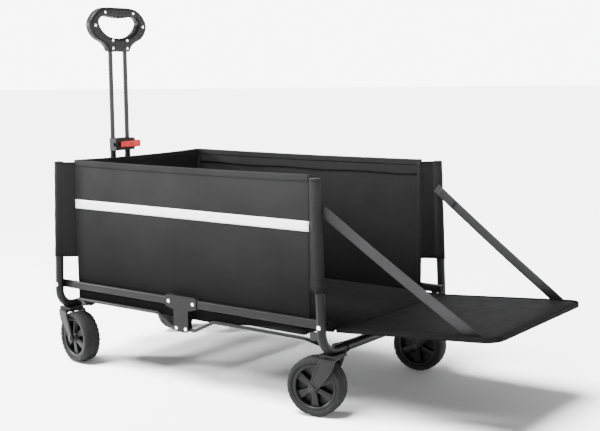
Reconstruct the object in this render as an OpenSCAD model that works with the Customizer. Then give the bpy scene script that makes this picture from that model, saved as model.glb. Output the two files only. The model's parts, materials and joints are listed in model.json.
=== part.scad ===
// Folding four-wheeled wagon with a fabric bag, a drop tailgate and a telescopic pull handle.
// +X runs to the tailgate, +Y to the far side, +Z up, and the wheels stand on Z = 0.
// The near side is -Y, the rear end carries the tailgate and the front end the handle.

/* [Bag] */
// Length of the bag between its corners
bag_l = 900; // [740:10:1100]
// Width of the bag over its side panels
bag_w = 570; // [470:5:700]
// Height of the rim above the floor boards
bag_h = 400; // [320:5:490]
// Thickness of the fabric walls
wall_t = 3; // [2:0.5:4]
// Thickness of a floor board
board_t = 12; // [8:1:15]
// How far the fabric base hangs below the boards
base_drop = 24; // [15:1:28]
// Height of the reflective strips
strip_h = 27; // [15:1:50]
// Distance from the rim down to the reflective strips
strip_drop = 122; // [60:2:180]

/* [Frame] */
// Outer diameter of the end frame tubes
tube_d = 25; // [22:0.5:30]
// Wall thickness of the frame tubes
tube_wall = 1.5; // [1:0.1:2.5]
// Distance from the bag's end to the posts
post_gap = 55; // [45:1:70]
// Inward lean of the posts, in degrees
lean = 2.7; // [0:0.1:4]
// Centreline radius of the end frame bends
bend_r = 55; // [45:1:65]
// Height of the side rails above the cross tubes
frame_rise = 72; // [62:1:90]
// Radius of the frame's rivets
rivet_r = 4; // [3:0.5:5]

/* [Side rails] */
// Height of a side rail's section
rail_h = 25; // [20:1:30]
// Thickness of a side rail's section
rail_t = 12; // [10:1:15]
// Distance from the middle to a rail's inner pivot
pivot_in = 47; // [40:1:60]

/* [Lower frames] */
// Diameter of the lower frames' rods
rod_d = 10; // [8:0.5:12]
// Distance from the middle to a lower frame's inner pivot
low_in = 18; // [15:1:22]
// Height of the rail pivots above the lower frame pivots
low_drop = 76; // [68:1:84]
// Distance from the middle to where the rear lower frame has risen
rise_rear = 118; // [100:2:160]
// Distance from the middle to where the front lower frame has risen
rise_front = 100; // [96:2:160]
// Thickness of a centre hinge plate
plate_t = 2; // [1.5:0.5:3]

/* [Wheels] */
// Diameter of the tyres
wheel_d = 160; // [130:2:200]
// Width of the tyres
tyre_w = 56; // [32:1:70]
// Trail of the casters
trail = 46; // [42:1:60]
// Distance from a post in to its caster's swivel axis
caster_in = 48; // [40:1:60]
// Number of pockets between the rims' spokes
spoke_count = 6; // [5:1:8]
// Thickness of the web behind the spokes
web_t = 4; // [2:0.5:8]
// Heading of the near front caster, in degrees
yaw_front_near = -11; // [-180:1:180]
// Heading of the near rear caster, in degrees
yaw_rear_near = 13; // [-180:1:180]
// Heading of the far rear caster, in degrees
yaw_rear_far = 8; // [-180:1:180]
// Heading of the far front caster, in degrees
yaw_front_far = -90; // [-180:1:180]

/* [Handle] */
// Distance from the front cross tube out to the handle
handle_gap = 35; // [32:1:60]
// Centre distance of the handle's tubes
handle_gauge = 65; // [55:1:80]
// Diameter of the outer handle tubes
outer_d = 19; // [18:0.5:22]
// Diameter of the inner handle tubes
inner_d = 15; // [12:0.5:15]
// Height of the latch above the handle's pivot
latch_rise = 484; // [400:2:560]
// Travel of the inner tubes
travel = 270; // [150:5:280]
// Width of the grip
grip_w = 254; // [180:2:280]
// Height of the grip
grip_h = 143; // [120:1:170]
// Thickness of the grip
grip_t = 30; // [26:1:36]

/* [Tailgate] */
// Length of the tailgate
gate_l = 465; // [380:5:560]
// Distance from the bag's sides in to the tailgate's edges
gate_inset = 20; // [15:1:60]
// Thickness of the padded tailgate
gate_t = 14; // [10:1:20]
// Rise of the open tailgate's outer end, in degrees
gate_rise = 4.5; // [0:0.5:10]
// Distance from a post out to the tailgate's hinge line
gate_gap = 9; // [6:1:20]
// Width of the webbing straps
strap_w = 25; // [15:1:40]
// Thickness of the webbing straps
strap_t = 2; // [1.5:0.5:3]

/* [Hidden] */
$fn = 48;

// Clearances
run_fit = 0.05;          // radial clearance of a part that turns on its pin
slide_fit = 0.2;         // radial clearance of the telescopic tubes
open_fit = 0.3;          // radial clearance of the lower frames' loose inner pivots
gap = 0.5;               // gap between parts that move past each other
fabric_gap = 0.6;        // gap between fabric and the frame
eps = 0.01;              // overshoot of a cut past a face

// Heights
wheel_r = wheel_d / 2;
crown_top = wheel_d + 2;
mount_t = 3;
cross_z = crown_top + mount_t + gap + tube_d / 2;
pivot_z = cross_z + frame_rise;
low_z = pivot_z - low_drop;
floor_z = pivot_z - 10;
rim_z = floor_z + bag_h;
base_z = floor_z - board_t - fabric_gap - base_drop;
gate_w = bag_w - 2 * gate_inset;

// Sides: bag, centre hinge plates, rails, then posts
plate_in_y = bag_w / 2 + fabric_gap;
rail_y = plate_in_y + plate_t + gap + rail_t / 2;
plate_out_y = rail_y + rail_t / 2 + gap;
post_y = rail_y + (rail_t + tube_d) / 2 + gap;

// Lengths, measured from the middle of the bag
post_x = bag_l / 2 + post_gap;
cross_x = post_x + frame_rise * tan(lean);
link_l = post_x - pivot_in;
low_x = low_in + link_l;
cross_drop = frame_rise / cos(lean);
post_top = (rim_z - 8 - pivot_z) / cos(lean);
rail_over = 14;

// Casters
caster_x = cross_x;
caster_y = post_y - caster_in;
crown_t = 5;
axle_r = 4;
pin_r = 5;
rim_r = wheel_r * 0.775;
fork_gap = 2;
leg_t = 6;
leg_y = tyre_w / 2 + fork_gap;

// Handle
handle_x = cross_x + handle_gap;
handle_z = cross_z + 8;
grip_top = handle_z + latch_rise + 20 + 13 + travel + grip_h;
grip_z = grip_top - grip_h;
latch_z = handle_z + latch_rise;
latch_h = 40;
latch_w = handle_gauge + 21;
bolt_x = handle_x - inner_d / 2 - 7.5;
bolt_r = 3;
lever_y = latch_w / 2 + 10;

// Tailgate and straps
gate_x = post_x + gate_gap;
gate_z = floor_z + 1;
strap_z = pivot_z + 295;
strap_at = 0.8 * gate_l;

// The origin is under the middle of the whole object
x_max = gate_x + gate_l * cos(gate_rise) + gate_t * sin(gate_rise);
x_min = -handle_x - grip_t / 2;
x_mid = (x_max + x_min) / 2;

// ---- Helpers ----

// Moves a part from the bag's middle to the object's origin
module place() {
    translate([-x_mid, 0, 0]) children();
}

// Repeats a part that lies on the far side on the near side too
module both_sides() {
    children();
    mirror([0, 1, 0]) children();
}

// Turns a part of the rear end into the front end's
module at_end(end) {
    if (end == "rear") children();
    else mirror([1, 0, 0]) children();
}

// A cylinder along Y that is centred on the given point
module y_pin(x, y, z, r, l) {
    translate([x, y, z]) rotate([90, 0, 0]) cylinder(r = r, h = l, center = true);
}

// A box between two corners
module box(low, high) {
    translate(low) cube(high - low);
}

// The flat-sided oval of a rail, long way along Y of the sketch
module oval(h, t) {
    square([t, h - t], center = true);
    for (s = [-1, 1]) translate([0, s * (h - t) / 2]) circle(d = t);
}

// The direction from one point to the next
function heading(a, b) = (b - a) / norm(b - a);

// Points of a bend of the given radius in place of the corner p
function bend_points(a, p, b, bend) =
    let (u = heading(a, p), v = heading(p, b), angle = acos(u * v),
        n = (v - (u * v) * u) / norm(v - (u * v) * u),
        c = p - bend * tan(angle / 2) * u + bend * n, steps = ceil(angle / 18))
    [for (i = [0 : steps]) let (w = angle * i / steps) c + bend * (sin(w) * u - cos(w) * n)];

// A path with every corner of a list of points bent
function bent_path(points, bend) = let (last = len(points) - 1)
    concat([points[0]],
        [for (i = [1 : last - 1])
            for (q = bend_points(points[i - 1], points[i], points[i + 1], bend)) q],
        [points[last]]);

// A round rod swept along a path that never runs straight up
module swept_rod(path, r, sides) {
    last = len(path) - 1;
    rings = [for (i = [0 : last])
        let (u = heading(path[max(i - 1, 0)], path[min(i + 1, last)]),
            s = cross(u, [0, 0, 1]) / norm(cross(u, [0, 0, 1])), t = cross(s, u))
        for (k = [0 : sides - 1])
            path[i] + r * (cos(360 * k / sides) * s + sin(360 * k / sides) * t)];
    walls = [for (i = [0 : last - 1], k = [0 : sides - 1])
        let (a = i * sides + k, b = i * sides + (k + 1) % sides)
        for (f = [[a, b, a + sides], [b, b + sides, a + sides]]) f];
    polyhedron(rings, concat([[for (k = [0 : sides - 1]) sides - 1 - k]], walls,
        [[for (k = [0 : sides - 1]) last * sides + k]]));
}

// A rivet along +Y from the inside: a shank with a low head at each end
module rivet(r, l) {
    rotate([-90, 0, 0]) cylinder(r = r, h = l);
    rotate([-90, 0, 0]) translate([0, 0, l]) cylinder(r1 = r * 1.7, r2 = r * 1.1, h = 2.4);
    rotate([90, 0, 0]) cylinder(r1 = r * 1.5, r2 = r, h = 1.6);
}

// ---- End frames ----

// The leaning plane of an end frame, with its origin on the rail pivots' line
module frame_plane() {
    translate([post_x, 0, pivot_z]) rotate([0, -lean, 0]) children();
}

// The bent U of an end frame, as a solid of the given diameter
module frame_u(d, over) {
    foot = bend_r - cross_drop;
    both_sides() {
        translate([0, post_y, foot]) cylinder(d = d, h = post_top - foot + over);
        translate([0, post_y - bend_r, foot])
            rotate([90, 0, 90]) rotate([0, 0, -90])
                rotate_extrude(angle = 90) translate([bend_r, 0]) circle(d = d);
    }
    translate([0, 0, -cross_drop])
        rotate([90, 0, 0]) cylinder(d = d, h = 2 * (post_y - bend_r), center = true);
}

module end_frame(end) {
    color("#1d1d1f") place() at_end(end) frame_plane() difference() {
        frame_u(tube_d, 0);
        frame_u(tube_d - 2 * tube_wall, 1);
        both_sides() y_pin(0, post_y, 0, rivet_r + run_fit, tube_d + 2);
    }
}

module post_caps(end) {
    plug_r = tube_d / 2 - tube_wall;
    color("#151515") place() at_end(end) frame_plane() both_sides()
        translate([0, post_y, post_top]) {
            cylinder(d = tube_d, h = 3);
            translate([0, 0, -15]) cylinder(r = plug_r, h = 15);
        }
}

// Rivets that hold the rails to the posts
module post_rivets(end) {
    inner = rail_y - rail_t / 2 - gap / 2;
    color("silver") place() at_end(end) both_sides()
        translate([post_x, inner, pivot_z])
            rivet(rivet_r, post_y + tube_d / 2 - inner);
}

// Plates that carry a lower frame's cross rod on the cross tube
module hinge_brackets(end) {
    at_y = post_y - bend_r - 48;
    ring_r = tube_d / 2 + 2.5;
    arm = rod_d / 2 + 4;
    color("#1a1a1a") place() at_end(end) both_sides()
        translate([0, at_y + 3, 0]) rotate([90, 0, 0]) linear_extrude(6) difference() {
            union() {
                translate([cross_x, cross_z]) circle(r = ring_r);
                translate([low_x, low_z]) circle(r = arm);
                polygon([[low_x, low_z - arm], [cross_x, cross_z - ring_r],
                    [cross_x, cross_z + ring_r], [low_x, low_z + arm]]);
            }
            translate([cross_x, cross_z]) circle(d = tube_d);
            translate([low_x, low_z]) circle(r = rod_d / 2 + run_fit);
        }
}

// Saddles under the end frame's corners
module caster_mounts(end) {
    low = crown_top + gap;
    color("#1a1a1a") place() at_end(end) both_sides() difference() {
        box([caster_x - 24, caster_y - 28, low], [caster_x + 24, caster_y + 28, low + 9]);
        frame_plane() frame_u(tube_d, 0);
        translate([caster_x, caster_y, low - eps]) cylinder(r = pin_r, h = 3 + eps);
    }
}

// Swivel pins, from the saddles down through the forks' crowns
module kingpins(end) {
    low = crown_top - crown_t;
    color("silver") place() at_end(end) both_sides()
        translate([caster_x, caster_y, 0]) {
            translate([0, 0, low - gap]) cylinder(r = pin_r, h = crown_t + 2 * gap + 3);
            translate([0, 0, low - gap - 4]) cylinder(r = pin_r + 4, h = 4);
        }
}

// Fabric sleeves that hold the bag to the posts
module sleeves(end) {
    sleeve_r = tube_d / 2 + wall_t;
    low = 92;
    reach = post_gap - 10;
    inset = post_y - bag_w / 2;
    color("#2b2b2d") place() at_end(end) frame_plane() both_sides()
        translate([0, 0, low]) linear_extrude(post_top - low) difference() {
            union() {
                translate([0, post_y]) circle(r = sleeve_r);
                polygon([[0, post_y - sleeve_r], [0, post_y + sleeve_r],
                    [-reach, post_y - inset + 6], [-reach, post_y - inset + 2]]);
            }
            translate([0, post_y]) circle(r = tube_d / 2 + 0.3);
        }
}

// ---- Bag ----

module side_panel(side) {
    outer = bag_w / 2;
    color("#2e2e30") place() scale([1, side, 1])
        box([-bag_l / 2, outer - wall_t, base_z + 4], [bag_l / 2, outer, rim_z]);
}

module end_wall() {
    half = bag_w / 2 - wall_t - fabric_gap;
    color("#2e2e30") place()
        box([-bag_l / 2, -half, base_z + 4], [wall_t - bag_l / 2, half, rim_z]);
}

module strips() {
    outer = bag_w / 2 + 0.02;
    top = rim_z - strip_drop;
    color("#d5d5d5") place() both_sides()
        box([-bag_l / 2 + 2, outer, top - strip_h], [bag_l / 2 - 2, outer + 0.5, top]);
}

// A floor board. The rear one runs on to the tailgate's hinge line.
module floor_board(end) {
    half = bag_w / 2 - wall_t - 3;
    last = end == "rear" ? gate_x - 5 : bag_l / 2 - wall_t - 3;
    color("#232325") place() at_end(end)
        box([6, -half, floor_z - board_t], [last, half, floor_z]);
}

module base_cover(end) {
    half = bag_w / 2 - wall_t - 6;
    top = floor_z - board_t - 0.1;
    color("#262628") place() at_end(end)
        box([pivot_in, -half, base_z], [bag_l / 2 - 22, half, top]);
}

// ---- Folding side frames ----

module rails(end) {
    bore = rivet_r + run_fit;
    length = link_l + 2 * rail_over;
    color("#202022") place() at_end(end) both_sides() difference() {
        translate([pivot_in - rail_over, rail_y, pivot_z])
            rotate([90, 0, 90]) linear_extrude(length) oval(rail_h, rail_t);
        translate([pivot_in - rail_over - eps, rail_y, pivot_z])
            rotate([90, 0, 90]) linear_extrude(length + 2 * eps)
                oval(rail_h - 2 * tube_wall, rail_t - 2 * tube_wall);
        y_pin(pivot_in, rail_y, pivot_z, bore, rail_t + 2);
        y_pin(post_x, rail_y, pivot_z, bore, rail_t + 2);
    }
}

// The T outline of a centre hinge plate
module plate_outline() {
    top = rail_h / 2 + 7;
    difference() {
        union() {
            polygon([[-pivot_in - 13, top - 5], [-pivot_in - 8, top], [pivot_in + 8, top],
                [pivot_in + 13, top - 5], [pivot_in + 13, -rail_h / 2 - 2],
                [low_in + 10, -rail_h / 2 - 10], [low_in + 10, -low_drop],
                [-low_in - 10, -low_drop], [-low_in - 10, -rail_h / 2 - 10],
                [-pivot_in - 13, -rail_h / 2 - 2]]);
            for (s = [-1, 1]) translate([s * low_in, -low_drop]) circle(r = 10);
            square([2 * low_in, 20], center = true);
            translate([-low_in, -low_drop - 10]) square([2 * low_in, 12]);
        }
        for (s = [-1, 1]) {
            translate([s * pivot_in, 0]) circle(r = rivet_r);
            translate([s * low_in, -low_drop]) circle(r = rivet_r - 1);
        }
    }
}

module hinge_plates(side) {
    color("#202022") place() scale([1, side, 1])
        for (y = [plate_in_y, plate_out_y])
            translate([0, y + plate_t, pivot_z])
                rotate([90, 0, 0]) linear_extrude(plate_t) plate_outline();
}

module plate_rivets() {
    l = plate_out_y + plate_t - plate_in_y;
    color("silver") place() both_sides() for (s = [-1, 1]) {
        translate([s * pivot_in, plate_in_y, pivot_z]) rivet_flush(rivet_r, l);
        translate([s * low_in, plate_in_y, low_z]) rivet_flush(rivet_r - 1, l);
    }
}

// A rivet whose inner end is flush, so that it clears the bag
module rivet_flush(r, l) {
    rotate([-90, 0, 0]) cylinder(r = r, h = l);
    rotate([-90, 0, 0]) translate([0, 0, l]) cylinder(r1 = r * 1.6, r2 = r, h = 2.2);
}

// A lower frame: two legs and the cross rod that turns in the hinge brackets
module lower_frame(end, rise_x) {
    r = rod_d / 2;
    high = low_z + 33;
    knee_x = low_x - 36;
    cross_half = post_y - bend_r - 20;
    eye_r = 9;
    leg = [[low_in + eye_r - 1, rail_y, low_z], [low_in + 26, rail_y, low_z - 3],
        [rise_x, rail_y, high], [knee_x, rail_y, high], [low_x, cross_half, low_z]];
    other = [for (i = [len(leg) - 1 : -1 : 0]) [leg[i][0], -leg[i][1], leg[i][2]]];
    color("#1d1d1f") place() at_end(end) difference() {
        union() {
            swept_rod(bent_path(concat(leg, other), 15), r, 12);
            both_sides() y_pin(low_in, rail_y, low_z, eye_r, 8);
        }
        both_sides() y_pin(low_in, rail_y, low_z, rivet_r - 1 + open_fit, 12);
    }
}

// ---- Tailgate ----

module gate_plane() {
    translate([gate_x, 0, gate_z]) rotate([0, -gate_rise, 0]) children();
}

// The tailgate's outline, square at the hinge and rounded at the outer corners
module gate_outline(inset) {
    r = 45 - inset;
    half = gate_w / 2 - inset;
    far = gate_l - inset;
    translate([inset, -half]) square([far - inset - r, 2 * half]);
    translate([inset, -half + r]) square([far - inset, 2 * (half - r)]);
    for (s = [-1, 1]) translate([far - r, s * (half - r)]) circle(r = r);
}

module gate_board() {
    color("#3a3a3c") place() gate_plane() translate([0, 0, -gate_t / 2 - 3])
        linear_extrude(6) gate_outline(10);
}

module gate_cover() {
    color("#2d2d2f") place() gate_plane() difference() {
        translate([0, 0, -gate_t]) linear_extrude(gate_t) gate_outline(0);
        translate([0, 0, -gate_t / 2 - 3.1]) linear_extrude(6.2) gate_outline(9.9);
    }
}

// Webbing from the rear sleeves down to the tailgate's edges
module straps() {
    top_y = post_y - tube_d / 2 - wall_t - 2;
    low_y = gate_w / 2 - 14;
    start = [post_x - (strap_z - pivot_z) * tan(lean) + tube_d / 2 + 4, top_y, strap_z];
    finish = [gate_x + strap_at * cos(gate_rise), low_y,
        gate_z + strap_at * sin(gate_rise) + strap_w / 2 + 4];
    d = finish - start;
    run = norm([d[0], d[1]]);
    color("#3c3c3e") place() both_sides() translate(start)
        rotate([0, 0, atan2(d[1], d[0])]) rotate([0, atan2(-d[2], run), 0])
            translate([0, -strap_t / 2, -strap_w / 2]) cube([norm(d), strap_t, strap_w]);
}

// ---- Handle ----

// Ears on the front cross tube that carry the handle's pin
module yoke() {
    ear_y = handle_gauge / 2 + 20;
    ring_r = tube_d / 2 + 3;
    color("#1a1a1a") place() both_sides()
        translate([0, ear_y + 5, 0]) rotate([90, 0, 0]) linear_extrude(5) difference() {
            union() {
                translate([-cross_x, cross_z]) circle(r = ring_r);
                translate([-handle_x, handle_z]) circle(r = 12);
                polygon([[-cross_x, cross_z - ring_r], [-handle_x, handle_z - 12],
                    [-handle_x, handle_z + 12], [-cross_x, cross_z + ring_r]]);
            }
            translate([-cross_x, cross_z]) circle(d = tube_d);
            translate([-handle_x, handle_z]) circle(r = pin_r);
        }
}

module pivot_pin() {
    half = handle_gauge / 2 + 25;
    color("silver") place() {
        y_pin(-handle_x, 0, handle_z, pin_r, 2 * half);
        both_sides() y_pin(-handle_x, half + 1.5, handle_z, pin_r + 3, 3);
    }
}

module foot() {
    half = handle_gauge / 2 + 20 - gap;
    socket_r = outer_d / 2 + 3;
    color("#1b1b1b") place() translate([-handle_x, 0, handle_z]) difference() {
        union() {
            y_pin(0, 0, 0, 12, 2 * half);
            both_sides() translate([0, handle_gauge / 2, 0]) cylinder(r = socket_r, h = 42);
            box([-6, -handle_gauge / 2, 0], [6, handle_gauge / 2, 30]);
        }
        y_pin(0, 0, 0, pin_r + run_fit, 2 * half + 2);
        both_sides() translate([0, handle_gauge / 2, 14]) cylinder(d = outer_d, h = 30);
    }
}

module outer_pair() {
    bore = inner_d / 2 + slide_fit;
    color("#1c1c1e") place() translate([-handle_x, 0, handle_z + 14]) both_sides()
        translate([0, handle_gauge / 2, 0]) difference() {
            cylinder(d = outer_d, h = latch_rise - 14);
            translate([0, 0, -eps]) cylinder(r = bore, h = latch_rise);
        }
}

module bracket() {
    front = outer_d / 2 + 3.5;
    rear = handle_x - bolt_x + bolt_r + 7;
    color("#181818") place() translate([-handle_x, 0, latch_z]) difference() {
        union() {
            box([-front, -latch_w / 2 + front, -latch_h / 2], [rear, latch_w / 2 - front, latch_h / 2]);
            box([0, -latch_w / 2, -latch_h / 2], [rear, latch_w / 2, latch_h / 2]);
            both_sides() translate([0, latch_w / 2 - front, -latch_h / 2])
                cylinder(r = front, h = latch_h);
        }
        both_sides() translate([0, handle_gauge / 2, 0]) {
            translate([0, 0, -latch_h / 2 - eps]) cylinder(d = outer_d, h = latch_h / 2 + eps);
            translate([0, 0, -eps]) cylinder(r = inner_d / 2 + slide_fit, h = latch_h / 2 + 1);
        }
        y_pin(handle_x - bolt_x, 0, 0, bolt_r, latch_w + 2);
    }
}

// The clamp bolt, its nut and the cross pin that the lever turns on
module clamp_bolt() {
    nut = 6;
    color("#8d8d90") place() translate([-bolt_x, 0, latch_z]) {
        translate([0, (lever_y - latch_w / 2) / 2, 0]) rotate([90, 0, 0])
            cylinder(r = bolt_r, h = lever_y + latch_w / 2, center = true);
        translate([0, -latch_w / 2 - nut / 2, 0]) rotate([90, 0, 0])
            cylinder(r = 6, h = nut, center = true);
        translate([0, lever_y, -13]) cylinder(r = bolt_r, h = 26);
    }
}

// Cam lever: two cheeks on the cross pin and an arm that lies along the bracket
module lever() {
    cheek_r = 9.5;
    half = 11;
    slot = bolt_r + 0.4;
    face = bolt_r + 7 + gap;
    arm_l = 75;
    color("#d8383a") place() translate([-bolt_x, lever_y, latch_z]) difference() {
        union() {
            cylinder(r = cheek_r, h = 2 * half, center = true);
            box([0, -cheek_r + 0.5, -half], [face + 7, cheek_r, half]);
            box([face, -arm_l, -half + 2], [face + 7, 0, half - 2]);
        }
        cylinder(r = bolt_r + run_fit, h = 2 * half + 2, center = true);
        box([-cheek_r - 1, -cheek_r - 1, -slot], [slot + 0.5, cheek_r + 1, slot]);
    }
}

module inner_pair() {
    low = latch_z - 80;
    bore = inner_d / 2 - 1.2;
    color("#8a8a8c") place() both_sides()
        translate([-handle_x, handle_gauge / 2, low]) difference() {
            cylinder(d = inner_d, h = grip_z + 32 - low);
            translate([0, 0, -eps]) cylinder(r = bore, h = grip_z + 33 - low);
        }
}

// Outline of the D-shaped grip, with its lowest point at the origin
module grip_outline() {
    top_r = 0.40 * grip_h;
    side = grip_w / 2 - top_r;
    neck = handle_gauge / 2 + 18;
    shoulder = 0.34 * grip_h;
    translate([-side, grip_h - 2 * top_r]) square([2 * side, 2 * top_r]);
    for (s = [-1, 1]) translate([s * side, grip_h - top_r]) circle(r = top_r);
    polygon([[-neck, 0], [neck, 0], [neck + 8, shoulder * 0.7],
        [side + 0.7 * top_r, grip_h - 1.7 * top_r], [-side - 0.7 * top_r, grip_h - 1.7 * top_r],
        [-neck - 8, shoulder * 0.7]]);
}

// The finger opening in the grip
module grip_window() {
    bar = 0.22 * grip_h;
    high = 0.45 * grip_h;
    half = grip_w / 2 - 41;
    r = 0.4 * high;
    translate([-half + r, grip_h - bar - high]) square([2 * (half - r), high]);
    translate([-half, grip_h - bar - high + r]) square([2 * half, high - 2 * r]);
    for (s = [-1, 1], low = [0, 1])
        translate([s * (half - r), grip_h - bar - high + r + low * (high - 2 * r)]) circle(r = r);
}

module grip_half(side) {
    shell = grip_t / 2;
    color("#161616") place() translate([-handle_x, 0, grip_z]) difference() {
        scale([side, 1, 1]) rotate([90, 0, 90]) linear_extrude(shell) difference() {
            grip_outline();
            grip_window();
        }
        both_sides() translate([0, handle_gauge / 2, -eps]) cylinder(d = inner_d, h = 32 + eps);
    }
}

// Screws in the grip's rear half
module screws() {
    spots = [[0.24 * grip_w, grip_h - 17], [0.42 * grip_w, 0.58 * grip_h], [0.19 * grip_w, 8],
        [0.11 * grip_w, 40]];
    color("silver") place() both_sides() for (p = spots)
        translate([grip_t / 2 - handle_x, p[0], grip_z + p[1]]) rotate([0, 90, 0])
            cylinder(r1 = 3.4, r2 = 2.4, h = 1.2);
}

// ---- Casters ----

// Places a caster's parts, which are drawn with the swivel axis at the origin
module caster_place(end, side, yaw) {
    sx = end == "rear" ? 1 : -1;
    place() translate([sx * caster_x, side * caster_y, 0])
        rotate([0, 0, yaw + (end == "rear" ? 180 : 0)]) children();
}

// Outline of a fork leg, from the crown down to the axle boss
module leg_outline() {
    top = crown_top;
    polygon(concat(
        [for (i = [0 : 8]) let (t = i / 8)
            [-19 + (trail + 9) * pow(t, 1.7), top - (top - wheel_r + 6) * t]],
        [for (i = [0 : 8]) let (t = 1 - i / 8)
            [21 + (trail - 10) * pow(t, 0.8), top - (top - wheel_r - 4) * t]]));
    translate([trail, wheel_r]) circle(r = 13);
}

module fork(end, side, yaw) {
    color("#202022") caster_place(end, side, yaw) difference() {
        union() {
            translate([0, 0, crown_top - crown_t])
                linear_extrude(crown_t) crown_outline();
            both_sides() translate([0, leg_y + leg_t, 0])
                rotate([90, 0, 0]) linear_extrude(leg_t) leg_outline();
        }
        translate([0, 0, crown_top - crown_t - 1]) cylinder(r = pin_r + run_fit, h = crown_t + 2);
        y_pin(trail, 0, wheel_r, axle_r, 2 * (leg_y + leg_t) + 2);
    }
}

module crown_outline() {
    half = leg_y + leg_t;
    translate([-19, -half]) square([40, 2 * half]);
}

module axle(end, side, yaw) {
    half = leg_y + leg_t;
    color("#9a9a9c") caster_place(end, side, yaw) {
        y_pin(trail, 0, wheel_r, axle_r, 2 * half);
        both_sides() y_pin(trail, half + 2, wheel_r, axle_r + 3, 4);
    }
}

// One opening between two spokes
module spoke_gap() {
    hub = 21;
    ring = rim_r - 8;
    half = 180 / spoke_count - 13;
    steps = 6;
    polygon(concat(
        [for (i = [0 : steps]) let (a = half * (2 * i / steps - 1)) ring * [cos(a), sin(a)]],
        [for (i = [0 : 2]) let (a = half * 0.75 * (1 - i)) hub * [cos(a), sin(a)]]));
}

module rim(end, side, yaw) {
    ring_w = tyre_w - 10;
    bore = axle_r + run_fit;
    color("#1c1c1e") caster_place(end, side, yaw) translate([trail, 0, wheel_r])
        rotate([90, 0, 0]) difference() {
            union() {
                difference() {
                    cylinder(r = rim_r, h = ring_w, center = true);
                    cylinder(r = rim_r - 5, h = ring_w + 2, center = true);
                }
                cylinder(r = 15, h = tyre_w, center = true);
                cylinder(r = rim_r - 4, h = web_t, center = true);
                difference() {
                    cylinder(r = rim_r - 4, h = 16, center = true);
                    for (i = [1 : spoke_count]) rotate(i * 360 / spoke_count)
                        translate([0, 0, -10]) linear_extrude(20) spoke_gap();
                }
            }
            cylinder(r = bore, h = tyre_w + 2, center = true);
        }
}

// The tyre's section, with rounded shoulders
module tyre_section() {
    half = tyre_w / 2;
    shoulder = 9;
    translate([rim_r, -half + 3]) square([wheel_r - rim_r - shoulder, tyre_w - 6]);
    translate([rim_r + 4, -half]) square([wheel_r - rim_r - shoulder - 4, tyre_w]);
    translate([wheel_r - shoulder - eps, -half + shoulder])
        square([shoulder + eps, tyre_w - 2 * shoulder]);
    for (s = [-1, 1])
        translate([wheel_r - shoulder, s * (half - shoulder)]) circle(r = shoulder);
}

module tyre(end, side, yaw) {
    color("#262627") caster_place(end, side, yaw) translate([trail, 0, wheel_r])
        rotate([90, 0, 0]) rotate_extrude($fn = 96) tyre_section();
}

// ---- Nodes ----

module rear_frame() { end_frame("rear"); }
module rear_post_caps() { post_caps("rear"); }
module rear_rivets() { post_rivets("rear"); }
module rear_hinge_brackets() { hinge_brackets("rear"); }
module rear_caster_mounts() { caster_mounts("rear"); }
module rear_kingpins() { kingpins("rear"); }
module rear_sleeves() { sleeves("rear"); }
module side_panel_near() { side_panel(-1); }
module side_panel_far() { side_panel(1); }
module reflective_strips() { strips(); }
module tailgate_straps() { straps(); }
module tailgate_board() { gate_board(); }
module tailgate_cover() { gate_cover(); }
module rear_rails() { rails("rear"); }
module floor_board_rear() { floor_board("rear"); }
module base_cover_rear() { base_cover("rear"); }
module hinge_plates_near() { hinge_plates(-1); }
module hinge_plates_far() { hinge_plates(1); }
module centre_rivets() { plate_rivets(); }
module front_rails() { rails("front"); }
module floor_board_front() { floor_board("front"); }
module base_cover_front() { base_cover("front"); }
module front_frame() { end_frame("front"); }
module front_post_caps() { post_caps("front"); }
module front_rivets() { post_rivets("front"); }
module front_hinge_brackets() { hinge_brackets("front"); }
module front_caster_mounts() { caster_mounts("front"); }
module front_kingpins() { kingpins("front"); }
module front_sleeves() { sleeves("front"); }
module end_panel() { end_wall(); }
module handle_yoke() { yoke(); }
module handle_pin() { pivot_pin(); }
module rear_lower_frame() { lower_frame("rear", rise_rear); }
module front_lower_frame() { lower_frame("front", rise_front); }
module handle_foot() { foot(); }
module outer_tubes() { outer_pair(); }
module latch_bracket() { bracket(); }
module latch_bolt() { clamp_bolt(); }
module latch_lever() { lever(); }
module inner_tubes() { inner_pair(); }
module grip_front() { grip_half(-1); }
module grip_rear() { grip_half(1); }
module grip_screws() { screws(); }

rear_frame();
rear_post_caps();
rear_rivets();
rear_hinge_brackets();
rear_caster_mounts();
rear_kingpins();
rear_sleeves();
side_panel_near();
side_panel_far();
reflective_strips();
tailgate_straps();
tailgate_board();
tailgate_cover();
rear_rails();
floor_board_rear();
base_cover_rear();
hinge_plates_near();
hinge_plates_far();
centre_rivets();
front_rails();
floor_board_front();
base_cover_front();
front_frame();
front_post_caps();
front_rivets();
front_hinge_brackets();
front_caster_mounts();
front_kingpins();
front_sleeves();
end_panel();
handle_yoke();
handle_pin();
rear_lower_frame();
front_lower_frame();
handle_foot();
outer_tubes();
latch_bracket();
latch_bolt();
latch_lever();
inner_tubes();
grip_front();
grip_rear();
grip_screws();
fork("rear", -1, yaw_rear_near);  // fork_rear_near
axle("rear", -1, yaw_rear_near);  // axle_rear_near
rim("rear", -1, yaw_rear_near);  // rim_rear_near
tyre("rear", -1, yaw_rear_near);  // tyre_rear_near
fork("rear", 1, yaw_rear_far);  // fork_rear_far
axle("rear", 1, yaw_rear_far);  // axle_rear_far
rim("rear", 1, yaw_rear_far);  // rim_rear_far
tyre("rear", 1, yaw_rear_far);  // tyre_rear_far
fork("front", -1, yaw_front_near);  // fork_front_near
axle("front", -1, yaw_front_near);  // axle_front_near
rim("front", -1, yaw_front_near);  // rim_front_near
tyre("front", -1, yaw_front_near);  // tyre_front_near
fork("front", 1, yaw_front_far);  // fork_front_far
axle("front", 1, yaw_front_far);  // axle_front_far
rim("front", 1, yaw_front_far);  // rim_front_far
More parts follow.
